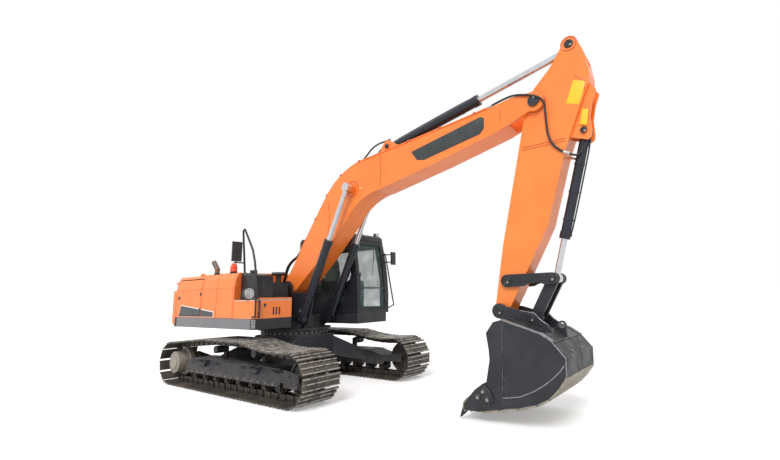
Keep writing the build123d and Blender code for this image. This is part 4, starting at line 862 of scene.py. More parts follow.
# Storage box
# A box of folded sheet in orange with a bare band below its lid. Its front carries a small lock and three
# air slots. Rows of round anti-slip teeth stand on the lid and in front of it.
box_coat = orange_coat("box_paint")
box_coat.over(box_coat.maths("MULTIPLY", band(box_coat, 1.545, 1.600, "Z"), 0.9), (0.52, 0.50, 0.47))
finish_nodes(orange_finish(box_coat), "storage_box")
finish_nodes(orange, "storage_lid")
box_bm = bmesh.new()
for y in (-1010, -950, -890):
    cut_plate(box_bm, [spot(machine, 699, y + dy, z)
                       for dy, z in ((-14, 1300), (14, 1300), (14, 1430), (-14, 1430))],
              Vector((0.004, 0, 0)), 1.5)
piece_of("box_slots", box_bm, black_plastic, "upper")
lock_bm = bmesh.new()
turn(lock_bm, spot(machine, 699, -1180, 1470), Vector((1, 0, 0)),
     [(26, 0), (26, 4), (22, 6), (8, 6), (7, 3), (0, 3)], 28)
brick(lock_bm, machine, 698, 704, -1186, -1174, 1420, 1450, 1)
piece_of("box_lock", lock_bm, black_plastic, "upper")
marks = [(spot(machine, x, y, 1588), Vector((0, 0, 1))) for x in range(545, 690, 32)
         for y in range(-1240, -660, 32)]
set_out("lid_treads", tooth, marks, bare_steel, "storage_lid")
marks = [(spot(machine, x, y, 1558), Vector((0, 0, 1))) for x in (511, 518) for y in range(-1230, -660, 45)]
set_out("box_top_treads", tooth, marks, bare_steel, "upper")

# Tank and rails
# A welded steel tank, painted black, with beads along its seams. It has a moulded filler cap, and a gauge
# cover and a thin level tube on its front. The handrail and grab bars are bent tube in the same black.
tank_bm = bmesh.new()
turn(tank_bm, spot(machine, 146, -1070, 2068), Vector((0, 0, 1)),
     [(64, 0), (64, 12), (58, 20), (22, 21), (20, 22), (0, 22)], 32)
brick(tank_bm, machine, 498, 507, -1130, -1010, 1700, 1880, 4)
pipe(tank_bm, machine, [(506, -1200, 1620), (507, -1200, 1900)], 6, False, 2)
piece_of("tank_fittings", tank_bm, black_plastic, "upper")
seam_bm = bmesh.new()
pipe(seam_bm, machine, [(40, -1234, 1565), (503, -1234, 1565)], 5, False, 2)
pipe(seam_bm, machine, [(503, -1233, 1565), (503, -1233, 1975)], 5, False, 2)
pipe(seam_bm, machine, [(503, -1233, 1600), (503, -907, 1600)], 5, False, 2)
piece_of("tank_welds", seam_bm, black_paint, "upper")
finish_nodes(black_paint, "tank", "handrail_right", "grab_bars")

# Air cleaner, exhaust and beacon
# A moulded air cleaner with a finned steel cap, an exhaust pipe browned by heat that stands in a round
# collar, and a red beacon on a black plastic base.
grey_coat = Coat("grey_paint", "grey_paint", (0.125, 0.12, 0.115))
grey_coat.mottled((0.17, 0.165, 0.155), 2.0, 0.7).dusty(dust, 0.3).muddy(mud, 0.15, 0.75, 0.35)
grey_paint = grey_coat.edged(bare, 0.006, 0.5).grained(260, 0.15).sheen_between(0.40, 0.6).material
finish_nodes(black_plastic, "air_cleaner")
cap_bm = bmesh.new()
turn(cap_bm, spot(machine, 250, -610, 2030), Vector((0, 0, 1)),
     [(128, 0), (131, 4), (131, 20), (118, 28), (60, 30), (52, 29.5), (0, 29.5)], 48)
piece_of("cleaner_cap", cap_bm, grey_paint, "upper")
fin_bm = bmesh.new()
cut_plate(fin_bm, [Vector((x, -1.5, z)) / 1000 for x, z in ((60, 0), (126, 0), (126, 16), (60, 16))],
          Vector((0, 0.003, 0)), 0.6)
fin = pattern("cap_fin_pattern", fin_bm)
marks = [(spot(machine, 250, -610, 2004), (0, 0, 2 * math.pi * i / 36)) for i in range(36)]
set_out("cleaner_fins", fin, marks, black_plastic, "upper")
pipe_coat = Coat("hot_pipe_steel", "bare_steel", (0.16, 0.13, 0.11), 0.5, 0.8)
pipe_coat.mottled((0.30, 0.16, 0.08), 9, 0.8).over(pipe_coat.ramp(pipe_coat.noise(4, 5), 0.5, 0.7, 0, 0.6),
                                                   (0.07, 0.065, 0.07))
hot_pipe_steel = pipe_coat.grained(300, 0.3, 0.0008).sheen_between(0.4, 0.7).material
finish_nodes(hot_pipe_steel, "exhaust")
finish_nodes(lamp_amber, "beacon")
base_bm = bmesh.new()
turn(base_bm, spot(machine, -640, -1000, 2045), Vector((0, 0, 1)),
     [(70, 0), (70, 10), (66, 14), (66, 60), (67, 62), (67, 66), (60, 68), (0, 68)], 36)
piece_of("beacon_base", base_bm, black_plastic, "upper")
base_bm = bmesh.new()
turn(base_bm, spot(machine, -1320, -960, 2046), Vector((0, 0, 1)),
     [(86, 0), (86, 8), (54, 10), (54, 46), (58, 47), (58, 60), (50, 62)], 36)
piece_of("exhaust_collar", base_bm, black_paint, "upper")

# Cab
# A black tube and sheet frame with bonded glass in rubber, a sun visor on the roof's front edge,
# a split windscreen with its bar and wiper, and welded beads along the sill.
rubber_coat = Coat("hose_rubber", "black_plastic", (0.014, 0.014, 0.015))
hose_rubber = rubber_coat.mottled((0.032, 0.031, 0.030), 14, 0.7).dusty(dust, 0.22, 20).grained(
    700, 0.22, 0.0005).sheen_between(0.5, 0.72, 18).material
glass_coat = Coat("cab_glass", "glass", (0.10, 0.17, 0.165), 0.04)
glass_coat.shader.inputs["IOR"].default_value = 1.45
glass_coat.over(glass_coat.ramp(glass_coat.noise(4, 5), 0.5, 0.8, 0, 0.4), (0.30, 0.36, 0.34))
glass_coat.links.new(glass_coat.ramp(glass_coat.noise(2.4, 5), 0.35, 0.75, 0.20, 0.36),
                     glass_coat.shader.inputs["Alpha"])
cab_glass = glass_coat.sheen_between(0.02, 0.09, 6).material
finish_nodes(black_paint, "cab_shell", "cab_door")
finish_nodes(cab_glass, "cab_glass", "door_glass")
cab_middle = 897.5
front_low, front_mid, front_high = (1300, 1305), (1285, 1900), (1140, 2712)
front_arc = bow(front_low, front_mid, front_high, 24)


def on_front(z, out=0.0):
    """The place forward of the swing axis of the cab's bowed front at a height."""
    for (x0, z0), (x1, z1) in zip(front_arc, front_arc[1:]):
        if z0 <= z <= z1:
            return x0 + (x1 - x0) * (z - z0) / (z1 - z0) + out
    return front_arc[-1][0] + out


gasket_bm = bmesh.new()
pane_z = [1352, 1430, 1600, 1800, 2000, 2200, 2400, 2560, 2632]
for y in (502, 1238):
    pipe(gasket_bm, machine, [(on_front(z, 1), y, z) for z in pane_z], 8, True, 2)
for z in (1350, 2634):
    pipe(gasket_bm, machine, [(on_front(z, 1), 500, z), (on_front(z, 1), 1240, z)], 8, False, 2)
piece_of("windscreen_rubber", gasket_bm, hose_rubber, "upper")
bar_bm = bmesh.new()
for z, thick in ((1742, 20), (1762, 10)):
    brick(bar_bm, machine, on_front(z, -16), on_front(z, 3), 500, 1240, z - thick / 2, z + thick / 2, 3)
for y in (520, 1220):
    brick(bar_bm, machine, on_front(2420, -40), on_front(2420, -6), y - 14, y + 14, 2330, 2480, 4)
piece_of("windscreen_bar", bar_bm, black_paint, "upper")
wiper_bm = bmesh.new()
pipe(wiper_bm, machine, [(on_front(2646, 4), 1130, 2646), (on_front(2500, 9), 1080, 2500),
                         (on_front(2290, 9), 960, 2290)], 5, False, 3)
pipe(wiper_bm, machine, [(on_front(2600, 7), 1035, 2540), (on_front(2300, 7), 955, 2290),
                         (on_front(2010, 7), 880, 2010)], 6, False, 2)
turn(wiper_bm, spot(machine, on_front(2646, -4), 1130, 2646), Vector((1, 0, 0)),
     [(20, 0), (20, 10), (14, 14), (0, 14)], 20)
piece_of("wiper", wiper_bm, black_plastic, "upper")
side_bm = bmesh.new()
side_window = [(-340, 1462), (890, 1462), (945, 1532), (962, 1849), (1122, 1940), (1042, 2650),
               (-340, 2650)]
pipe(side_bm, machine, [(x, 447, z) for x, z in side_window + side_window[:1]], 8, False, 2)
piece_of("side_window_rubber", side_bm, hose_rubber, "upper")
door_bm = bmesh.new()
pipe(door_bm, machine, [(-265, 1353, 1365), (1100, 1353, 1365), (1088, 1353, 1930), (1010, 1353, 2595),
                        (-265, 1353, 2595), (-265, 1353, 1365)], 9, False, 2)
piece_of("door_rubber", door_bm, hose_rubber, "cab_door")
handle_bm = bmesh.new()
pipe(handle_bm, machine, [(1000, 1353, 1800), (1000, 1366, 1800), (1000, 1366, 1930), (1000, 1353, 1930)],
     8, False, 3)
for z in (1480, 2380):
    turn(handle_bm, spot(machine, -327, 1356, z), Vector((0, 0, 1)),
         [(12, 0), (12, 80), (8, 84), (0, 84)], 16)
piece_of("door_handle", handle_bm, black_plastic, "cab_door")
visor_bm = bmesh.new()
cut_plate(visor_bm, [spot(machine, x, 470, z) for x, z in ((1082, 2832), (1128, 2802), (1146, 2722),
                                                           (1152, 2722), (1140, 2808), (1088, 2842))],
          Vector((0, 0.855, 0)), 1.5)
piece_of("visor", visor_bm, black_plastic, "upper")
rib_bm = bmesh.new()
for y in (600, 740, 1055, 1195):
    pipe(rib_bm, machine, [(-360, y, 2851), (330, y, 2851)], 7, False, 2)
pipe(rib_bm, machine, [(208, 630, 2851), (752, 630, 2851), (752, 1165, 2851), (208, 1165, 2851),
                       (208, 630, 2851)], 8, False, 2)
piece_of("roof_ribs", rib_bm, black_paint, "upper")
grille_bm = bmesh.new()
for i in range(9):
    brick(grille_bm, machine, -460 + i * 16, -452 + i * 16, 438, 442, 1480, 1600, 1)
piece_of("cab_air_slots", grille_bm, black_plastic, "upper")
rail_bm = bmesh.new()
for z in (1258, 1292):
    pipe(rail_bm, machine, [(-470, 440, z), (1295, 440, z)], 5, False, 2)
pipe(rail_bm, machine, [(1300, 445, 1330), (1300, 1350, 1330)], 5, False, 2)
piece_of("cab_sill_beads", rail_bm, black_paint, "upper")

# Seat
# A sprung seat with a sewn cushion, a tall back and a headrest, in a hard wearing green grey cloth,
# on a black plastic base with a bellows.
seat_low, seat_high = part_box("seat")
seat_coat = Coat("seat_fabric", "seat_fabric", (0.10, 0.13, 0.11))
seat_coat.mottled((0.15, 0.18, 0.15), 30, 0.7)
seat_coat.shader.inputs["Sheen Weight"].default_value = 0.3
seat_fabric = seat_coat.grained(900, 0.6, 0.0006).sheen_between(0.75, 0.95, 40).material


def cushion(name, centre, half, tilt):
    """A crowned cushion with pulled-in sides and two sewn channels across."""
    bm = bmesh.new()
    steps = 14
    grid = {}
    cx, cy, cz = centre
    hx, hy, hz = half
    for top in (1, -1):
        for i in range(steps + 1):
            for j in range(steps + 1):
                u, v = 2 * i / steps - 1, 2 * j / steps - 1
                edge = (1 - abs(u) ** 5) * (1 - abs(v) ** 5)
                swell = edge ** 0.35 if edge > 0 else 0
                channel = 0.10 * math.exp(-((abs(v) - 0.45) / 0.05) ** 2) if top > 0 else 0
                pull = (1 - 0.035 * (1 - abs(v) ** 2) * (abs(u) > 0.93)
                        - 0.035 * (1 - abs(u) ** 2) * (abs(v) > 0.93))
                z = top * hz * max(0.0, swell - channel) if top > 0 else -hz * min(1.0, swell * 1.1)
                x, y = hx * u * pull, hy * v * pull
                c, s = math.cos(tilt), math.sin(tilt)
                grid[top, i, j] = bm.verts.new(spot(machine, cx + x * c - z * s, cy + y,
                                                    cz + x * s + z * c))
    for top in (1, -1):
        for i in range(steps):
            for j in range(steps):
                bm.faces.new([grid[top, i, j], grid[top, i + 1, j], grid[top, i + 1, j + 1],
                              grid[top, i, j + 1]])
    piece = piece_of(name, bm, seat_fabric, "upper", 70)


cushion("seat_cushion", (335, cab_middle, 1750), (245, 235, 60), math.radians(4))
cushion("seat_back", (75, cab_middle, 2090), (300, 225, 52), math.radians(100))
cushion("seat_headrest", (22, cab_middle, 2455), (70, 130, 38), math.radians(98))
base_bm = bmesh.new()
brick(base_bm, machine, 110, 560, 690, 1105, 1292, 1345, 12)
for i in range(6):
    brick(base_bm, machine, 150 + 4 * (i % 2), 520 - 4 * (i % 2), 715, 1080,
          1345 + i * 48, 1393 + i * 48, 14)
brick(base_bm, machine, 90, 575, 670, 1125, 1636, 1690, 16)
seat_base = piece_of("seat_base", base_bm, black_plastic, "upper")
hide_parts("seat")

# Controls
# Two moulded consoles with levers in rubber boots, a dashboard block by the right pillar with its screen,
# and two travel pedals with tall levers.
dark_coat = Coat("dark_panel", "dark_paint", (0.028, 0.033, 0.034))
dark_panel = dark_coat.mottled((0.045, 0.052, 0.052), 5, 0.7).edged((0.12, 0.12, 0.11), 0.004, 0.6).grained(
    500, 0.08).sheen_between(0.3, 0.46, 9).material
finish_nodes(black_plastic, "consoles")
control_bm = bmesh.new()
for y in (572, 1223):
    pipe(control_bm, machine, [(600, y, 1900), (606, y, 1990), (612, y, 2050)], 9, True, 3)
    turn(control_bm, spot(machine, 600, y, 1905), Vector((0, 0, 1)),
         [(48, 0), (42, 12), (38, 14), (30, 28), (24, 30), (16, 46), (0, 46)], 24)
    turn(control_bm, spot(machine, 612, y, 2020), Vector((0.1, 0, 1)).normalized(),
         [(15, 0), (21, 18), (23, 50), (20, 76), (10, 84), (0, 84)], 20)
for y in (850, 945):
    pipe(control_bm, machine, [(880, y, 1300), (900, y, 1500), (860, y, 1720)], 9, True, 3)
    brick(control_bm, machine, 860, 985, y - 40, y + 40, 1335, 1350, 5)
    turn(control_bm, spot(machine, 862, y, 1700), Vector((-0.15, 0, 1)).normalized(),
         [(14, 0), (17, 12), (16, 70), (8, 80), (0, 80)], 16)
piece_of("levers", control_bm, black_plastic, "upper")
dash_bm = bmesh.new()
brick(dash_bm, machine, 1020, 1120, 500, 640, 1780, 1990, 16)
pipe(dash_bm, machine, [(1075, 560, 1300), (1080, 560, 1560), (1070, 565, 1800)], 16, True, 3)
brick(dash_bm, machine, 1100, 1180, 486, 560, 1300, 1420, 10)
piece_of("dashboard", dash_bm, black_plastic, "upper")
screen_bm = bmesh.new()
cut_plate(screen_bm, [spot(machine, 1019, y, z) for y, z in ((512, 1815), (628, 1815), (628, 1965),
                                                             (512, 1965))], Vector((-0.003, 0, 0)), 1)
piece_of("dashboard_screen", screen_bm, dark_panel, "upper")

# Mirrors and lamps
# Each mirror is silvered glass in a moulded shell on a bent bar, and each lamp a clear lens in a deep rim.
lamp_y, lamp_z = -1370, 1665
mirror_coat = Coat("mirror_glass", "chrome_rod", (0.62, 0.66, 0.68), 0.04, 1.0)
mirror_glass = mirror_coat.mottled((0.48, 0.53, 0.55), 18, 0.4).sheen_between(0.03, 0.10, 30).material
lens_coat = Coat("lamp_lens", "glass", (0.55, 0.58, 0.60), 0.10, 0.2)
lamp_lens = lens_coat.mottled((0.36, 0.39, 0.42), 26, 0.6).grained(160, 0.35, 0.001).sheen_between(
    0.06, 0.2, 25).material
finish_nodes(black_plastic, "mirror_left", "mirror_right", "work_lamps")
mirror_bm = bmesh.new()
cut_plate(mirror_bm, [spot(machine, 84, y, z) for y, z in ((-1470, 2255), (-1312, 2255), (-1308, 2270),
                                                           (-1308, 2560), (-1318, 2578), (-1464, 2578),
                                                           (-1474, 2560), (-1474, 2270))],
          Vector((-0.003, 0, 0)), 1)
cut_plate(mirror_bm, [spot(machine, 1354, y, z) for y, z in ((1385, 2246), (1500, 2246), (1503, 2258),
                                                             (1503, 2482), (1494, 2494), (1391, 2494),
                                                             (1382, 2482), (1382, 2258))],
          Vector((-0.003, 0, 0)), 1)
piece_of("mirror_faces", mirror_bm, mirror_glass, "upper")
rim_bm = bmesh.new()
turn(rim_bm, spot(machine, 519, lamp_y, lamp_z), Vector((1, 0, 0)),
     [(87, 0), (89, 4), (86, 8), (76, 8), (74, 2), (74, 0)], 40, True)
piece_of("lamp_rim", rim_bm, pale_fitting, "upper")
lens_bm = bmesh.new()
turn(lens_bm, spot(machine, 517, lamp_y, lamp_z), Vector((1, 0, 0)),
     [(74, 0), (74, 3), (60, 6), (30, 8.5), (0, 9)], 36)
for y in (765, 1265):
    cut_plate(lens_bm, [spot(machine, 1075, y + dy, z)
                        for dy, z in ((-43, 2857), (43, 2857), (43, 2913), (-43, 2913))],
              Vector((0.003, 0, 0)), 1)
piece_of("lamp_lenses", lens_bm, lamp_lens, "upper")

# Boom
# A box of bent steel plate, welded along its edges and painted orange, with a dark bare panel on each side.
# Each of its pins is kept by a round cap with one keeper bolt.

# Boom, arm and bucket have directions of their own, measured from the pin each one turns on.
boom = ((60, 1800), 24.4)
boom_side = 210
lift_boss = (2280, 840)
tip_pin = 5700
arm_cylinder_foot = (3251, 1131)
name_panel = [(3673, 646), (3712, 448), (3826, 363), (4829, 105), (4924, 144), (4995, 282), (4951, 339)]
boom_paint = orange_finish(orange_coat("boom_paint"))
finish_nodes(boom_paint, "boom")
panel_bm = bmesh.new()
for side in (-1, 1):
    plate(panel_bm, boom, name_panel, side * (boom_side - 1), side * (boom_side + 2.5), 1)
piece_of("name_panels", panel_bm, dark_panel, "boom")

cap_bm = bmesh.new()
turn(cap_bm, Vector(), Vector((0, 0, 1)),
     [(1000, 0), (1000, 90), (930, 150), (780, 160), (740, 110), (300, 110), (260, 170), (0, 170)], 40)
pin_cap = pattern("pin_cap_pattern", cap_bm)


def pin_ends(name, part, x, z, half, radius, body):
    """Caps on both ends of a pin, with its keeper bolt."""
    scale = radius / 1000
    marks = [(spot(part, x, side * half, z), Vector((0, side, 0)), (scale, scale, 0.07))
             for side in (-1, 1)]
    set_out(name, pin_cap, marks, black_paint, body)
    bolts = [mark for side in (-1, 1)
             for mark in ring_of(part, x, z, side * (half + 9), 1, radius * 0.55, 0.9)]
    set_out(name + "_bolts", bolt, bolts, bare_steel, body)


def bead(bm, part, points, y, radius=5):
    """A weld bead along a plate's side."""
    pipe(bm, part, [(x, y, z) for x, z in points], radius, False, 2)


weld_bm = bmesh.new()
for side in (-1, 1):
    y = side * (boom_side + 1)
    bead(weld_bm, boom, [(1240, 168), (1560, 700), (1640, 1010)], y)
    bead(weld_bm, boom, [(2860, 500), (3040, 860), (3120, 1045)], y)
    bead(weld_bm, boom, [(5180, 60), (5250, 235)], y)
    turn(weld_bm, spot(boom, lift_boss[0], side * (boom_side + 1), lift_boss[1]), Vector((0, side, 0)),
         [(150, 0), (150, 3), (144, 6), (138, 6), (138, 0)], 40, True)
piece_of("boom_welds", weld_bm, orange_seam, "boom")
pin_ends("boom_foot_pin", boom, 0, 0, 268, 62, "upper")
pin_ends("boom_rod_pin", boom, *lift_boss, 285, 70, "boom")
pin_ends("boom_tip_pin", boom, tip_pin, 0, 226, 80, "boom")
pin_ends("arm_cylinder_foot_pin", boom, *arm_cylinder_foot, 138, 44, "boom")

# Pipes along the boom
# Two steel pipes a side are clamped along the top of the boom and painted with it.
# Hoses join them by pale unions to the valve block behind the foot.
top_edge = [(-19, 182), (1769, 1166), (2030, 1228), (2284, 1248), (2500, 1232), (2647, 1197), (3529, 887),
            (4984, 401), (5456, 274)]


def way(part, x, y, z):
    """A direction given on one part."""
    return (spot(part, x, y, z) - spot(part, 0, 0, 0)).normalized()


def over_boom(x, lift):
    """The height of a line that keeps above the boom's top edge."""
    for (x0, z0), (x1, z1) in zip(top_edge, top_edge[1:]):
        if x0 <= x <= x1:
            return z0 + (z1 - z0) * (x - x0) / (x1 - x0) + lift
    return top_edge[-1][1] + lift


pipe_lift = 30
pipe_rows = (-188, -150, 150, 188)
pipe_stations = [520, 900, 1300, 1650, 1900, 2150, 2400, 2650, 2950, 3350, 3800, 4300, 4800, 5120]
clamp_stations = (620, 1180, 1640, 2120, 2620, 3700, 4300, 4900)
pipe_bm = bmesh.new()
for y in pipe_rows:
    pipe(pipe_bm, boom, [(x, y, over_boom(x, pipe_lift)) for x in pipe_stations], 14, True, 3)
piece_of("boom_pipes", pipe_bm, orange, "boom")
clamp_bm = bmesh.new()
for x in clamp_stations:
    for side in (-1, 1):
        brick(clamp_bm, boom, x - 22, x + 22, *sorted((side * 128, side * 208)), over_boom(x, -6),
              over_boom(x, 52), 6)
piece_of("pipe_clamps", clamp_bm, orange_seam, "boom")
marks = [(spot(boom, x, side * 169, over_boom(x, 52)), way(boom, 0, 0, 1)) for x in clamp_stations
         for side in (-1, 1)]
set_out("clamp_bolts", bolt, marks, bare_steel, "boom")
fitting_bm = bmesh.new()
for y in pipe_rows:
    for x, along_x in ((520, -1), (5120, 1)):
        turn(fitting_bm, spot(boom, x, y, over_boom(x, pipe_lift)), way(boom, along_x, 0, -0.2),
             [(17, -20), (20, -18), (20, 14), (17, 16), (17, 40), (19, 42), (19, 62), (0, 62)], 16)
piece_of("pipe_unions", fitting_bm, pale_fitting, "boom")


def crossing_hose(name, points, radius):
    """A hose over a joint, held at both ends, its points given as part and place."""
    bm = bmesh.new()
    mesh = line_mesh([spot(part, *place) for part, place in points], radius, True, 4)
    bm.from_mesh(mesh)
    bpy.data.meshes.remove(mesh)
    piece = piece_of(name, bm, hose_rubber, None)
    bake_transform(piece)


for i, y in enumerate(pipe_rows):
    inner = y * 0.8
    crossing_hose("boom_foot_hose_%d" % (i + 1),
                  [(machine, (-330, inner, 1640)), (machine, (-300, inner, 1790)),
                   (machine, (-190, inner * 1.05, 1960)), (boom, (40, y, 420)), (boom, (240, y, 470)),
                   (boom, (420, y, over_boom(420, pipe_lift))), (boom, (500, y, over_boom(500, pipe_lift)))],
                  16)
valve_bm = bmesh.new()
brick(valve_bm, machine, -420, -240, -190, 190, 1250, 1600, 8)
for y in pipe_rows:
    turn(valve_bm, spot(machine, -330, y * 0.8, 1590), Vector((0, 0, 1)),
         [(22, 0), (22, 22), (18, 24), (18, 60), (0, 60)], 16)
for i in range(6):
    brick(valve_bm, machine, -236, -222, -170 + i * 58, -130 + i * 58, 1300, 1560, 5)
piece_of("boom_valve", valve_bm, cast_engine, "upper")

# Hydraulic cylinders
# Honed steel barrels in dark paint with a bolted gland, and hard chromed rods.
# Each is fed by hoses with pale crimped ends, and steel bands hold its feed pipe to the barrel.
arm = (turned(*boom, tip_pin, 0), -103.5)
bucket_cylinder_foot = (392, 701)
navy_coat = Coat("cylinder_paint", "black_paint", (0.009, 0.012, 0.020))
navy_coat.mottled((0.015, 0.020, 0.032), 3.2, 0.7).dusty(dust, 0.08).edged(bare, 0.004, 0.3)
cylinder_paint = navy_coat.grained(340, 0.1).sheen_between(0.24, 0.40).material
chrome_coat = Coat("chrome_rod", "chrome_rod", (0.66, 0.67, 0.69), 0.14, 1.0)
chrome_rod = chrome_coat.mottled((0.50, 0.51, 0.54), 12, 0.5).grained(900, 0.04, 0.0002).sheen_between(
    0.08, 0.24, 40).material
finish_nodes(cylinder_paint, "boom_cylinder_barrels", "arm_cylinder_barrel", "bucket_cylinder_barrel")
finish_nodes(chrome_rod, "boom_cylinder_rods", "arm_cylinder_rod", "bucket_cylinder_rod")
loop_bm = bmesh.new()
for y in (-118, 118):
    pipe(loop_bm, boom, [(2560, y, over_boom(2560, 34)), (2740, y, 1262), (2900, y * 0.9, 1330),
                         (3060, y * 0.7, 1340), (3200, y * 0.6, 1290), (3330, y * 0.6, 1240)], 15, True, 3)
piece_of("arm_cylinder_hoses", loop_bm, hose_rubber, "boom")
arm_cylinder = (turned(*boom, *arm_cylinder_foot), 11.804)
bucket_cylinder = (turned(*arm, *bucket_cylinder_foot), -106.152)
for name, along, radius, length in (("arm_cylinder_barrel", arm_cylinder, 80, 1810),
                                    ("bucket_cylinder_barrel", bucket_cylinder, 62, 1420)):
    bm = bmesh.new()
    out = way(along, 1, 0, 0)
    for x in (0.30, 0.56, 0.82):
        turn(bm, spot(along, x * length, 0, 0), out, [(radius + 1, -16), (radius + 5, -14),
                                                      (radius + 5, 14), (radius + 1, 16)], 40, True)
    turn(bm, spot(along, length - 58, 0, 0), out, [(radius + 2, 0), (radius + 7, 3), (radius + 7, 40),
                                                   (radius + 2, 43)], 40, True)
    pipe(bm, along, [(110, 0, radius + 6), (130, 0, radius + 20), (0.4 * length, 0, radius + 22),
                     (length - 90, 0, radius + 20), (length - 60, 0, radius + 4)], 10, True, 3)
    for x in (110, length - 60):
        turn(bm, spot(along, x, 0, radius - 4), way(along, 0, 0, 1),
             [(20, 0), (20, 24), (15, 26), (0, 26)], 16)
    piece_of(name + "_fittings", bm, cylinder_paint, name)
    ends = [(spot(along, length - 8, (radius - 12) * math.cos(a), (radius - 12) * math.sin(a)), out, 0.7)
            for a in (i * math.pi / 4 for i in range(8))]
    set_out(name + "_gland_bolts", bolt, ends, bare_steel, name)
lift_foot, lift_pin = (640, 1190), turned(*boom, *lift_boss)
lift = (lift_foot, math.degrees(math.atan2(lift_pin[1] - lift_foot[1], lift_pin[0] - lift_foot[0])))
lift_row = 350
lift_bm, lift_union_bm = bmesh.new(), bmesh.new()
for y in (-lift_row, lift_row):
    for x in (420, 900, 1330):
        turn(lift_bm, spot(lift, x, y, 0), way(lift, 1, 0, 0), [(77, -16), (81, -14), (81, 14), (77, 16)],
             40, True)
    pipe(lift_bm, lift, [(150, y, 82), (180, y, 96), (800, y, 98), (1400, y, 96), (1430, y, 82)],
         10, True, 3)
    for x in (150, 1430):
        turn(lift_bm, spot(lift, x, y, 70), way(lift, 0, 0, 1), [(20, 0), (20, 26), (15, 28), (0, 28)], 16)
    turn(lift_union_bm, spot(lift, 150, y, 98), way(lift, -1, 0, 0.2),
         [(13, 0), (17, 4), (17, 40), (13, 44), (13, 64), (0, 64)], 16)
piece_of("boom_cylinder_fittings", lift_bm, cylinder_paint, "boom_cylinder_barrels")
piece_of("boom_cylinder_unions", lift_union_bm, pale_fitting, "boom_cylinder_barrels")

# Arm
# A tapered box of welded plate, painted like the boom, with bare yellow plates on both sides, weld beads
# along its joints and round caps on its pins.
arm_side = 150
tail_pin = (-790, 338)
guide_pin = (2490, 20)
hose_row = 178
yellow_coat = Coat("yellow_plate", "orange_paint", (0.90, 0.56, 0.02))
yellow_coat.mottled((0.72, 0.44, 0.03), 22, 0.6).edged((0.10, 0.08, 0.03), 0.006, 0.7)
yellow_plate = yellow_coat.grained(400, 0.06).sheen_between(0.3, 0.5, 20).material
finish_nodes(boom_paint, "arm")
arm_plate_bm = bmesh.new()
for side in (-1, 1):
    plate(arm_plate_bm, arm, [(-274, 476), (-243, 646), (58, 602), (41, 431)], side * (arm_side - 1),
          side * (arm_side + 2), 1)
    plate(arm_plate_bm, arm, [(110, 640), (118, 720), (330, 735), (320, 640)], side * 118, side * 120.5,
          0.8)
piece_of("yellow_plates", arm_plate_bm, yellow_plate, "arm")
weld_bm = bmesh.new()
for side in (-1, 1):
    y = side * (arm_side + 1)
    bead(weld_bm, arm, [(644, -84), (508, 502)], y)
    bead(weld_bm, arm, [(680, -84), (544, 500)], y)
    bead(weld_bm, arm, [(2430, -100), (2520, 205)], y)
    bead(weld_bm, arm, [(-340, 480), (-250, 640), (-120, 640)], y)
    for x, z, radius in ((0, 0, 150), (*tail_pin, 104)):
        turn(weld_bm, spot(arm, x, side * (arm_side + 0.5), z), Vector((0, side, 0)),
             [(radius, 0), (radius, 3), (radius - 6, 6), (radius - 12, 4), (radius - 12, 0)], 48, True)
piece_of("arm_welds", weld_bm, orange_seam, "arm")
pin_ends("arm_cylinder_pin", arm, *tail_pin, 152, 60, "arm")
pin_ends("bucket_cylinder_foot_pin", arm, *bucket_cylinder_foot, 119, 44, "arm")
pin_ends("guide_pin", arm, *guide_pin, 196, 46, "arm")
for i, y in enumerate((-hose_row, hose_row)):
    crossing_hose("arm_hose_%d" % (i + 1),
                  [(boom, (5120, y * 1.05, over_boom(5120, pipe_lift))), (boom, (5330, y * 1.1, 350)),
                   (boom, (5560, y * 1.3, 250)), (arm, (-40, y * 1.35, 150)), (arm, (193, y * 1.1, 192)),
                   (arm, (498, y * 1.02, 268)), (arm, (661, y * 0.98, 402)), (arm, (700, y * 0.9, 520))],
                  15)
crimp_bm = bmesh.new()
for y in (-hose_row, hose_row):
    turn(crimp_bm, spot(arm, 694, y * 0.91, 500), way(arm, 0.2, 0, 1),
         [(17, 0), (20, 3), (20, 40), (16, 42), (16, 70), (19, 72), (19, 86), (0, 86)], 18)
piece_of("arm_hose_unions", crimp_bm, pale_fitting, "arm")
feed_bm = bmesh.new()
for y in (-150, 150):
    pipe(feed_bm, arm, [(712, y * 0.9, 575), (730, y * 0.7, 640), (690, y * 0.5, 690), (600, y * 0.42, 720),
                        (520, y * 0.3, 740)], 14, True, 3)
piece_of("bucket_cylinder_hoses", feed_bm, hose_rubber, "arm")

# Bucket linkage
# Forged steel links in the same black as the cab, turning on pins with bolted caps.
# A bead runs down each guide link and a raised rim stands round its lower eye.
upper_pin = (2335, 611)
link_face = 196
finish_nodes(black_paint, "guide_links", "bucket_link")
pin_ends("upper_link_pin", arm, *upper_pin, 203, 44, "guide_links")
link_bm = bmesh.new()
for side in (-1, 1):
    bead(link_bm, arm, [(2370, 560), (2462, 140)], side * link_face, 4)
    turn(link_bm, spot(arm, guide_pin[0], side * link_face, guide_pin[1]), Vector((0, side, 0)),
         [(74, 0), (74, 4), (70, 6), (64, 6), (60, 3), (60, 0)], 36, True)
piece_of("link_seams", link_bm, black_paint, "guide_links")

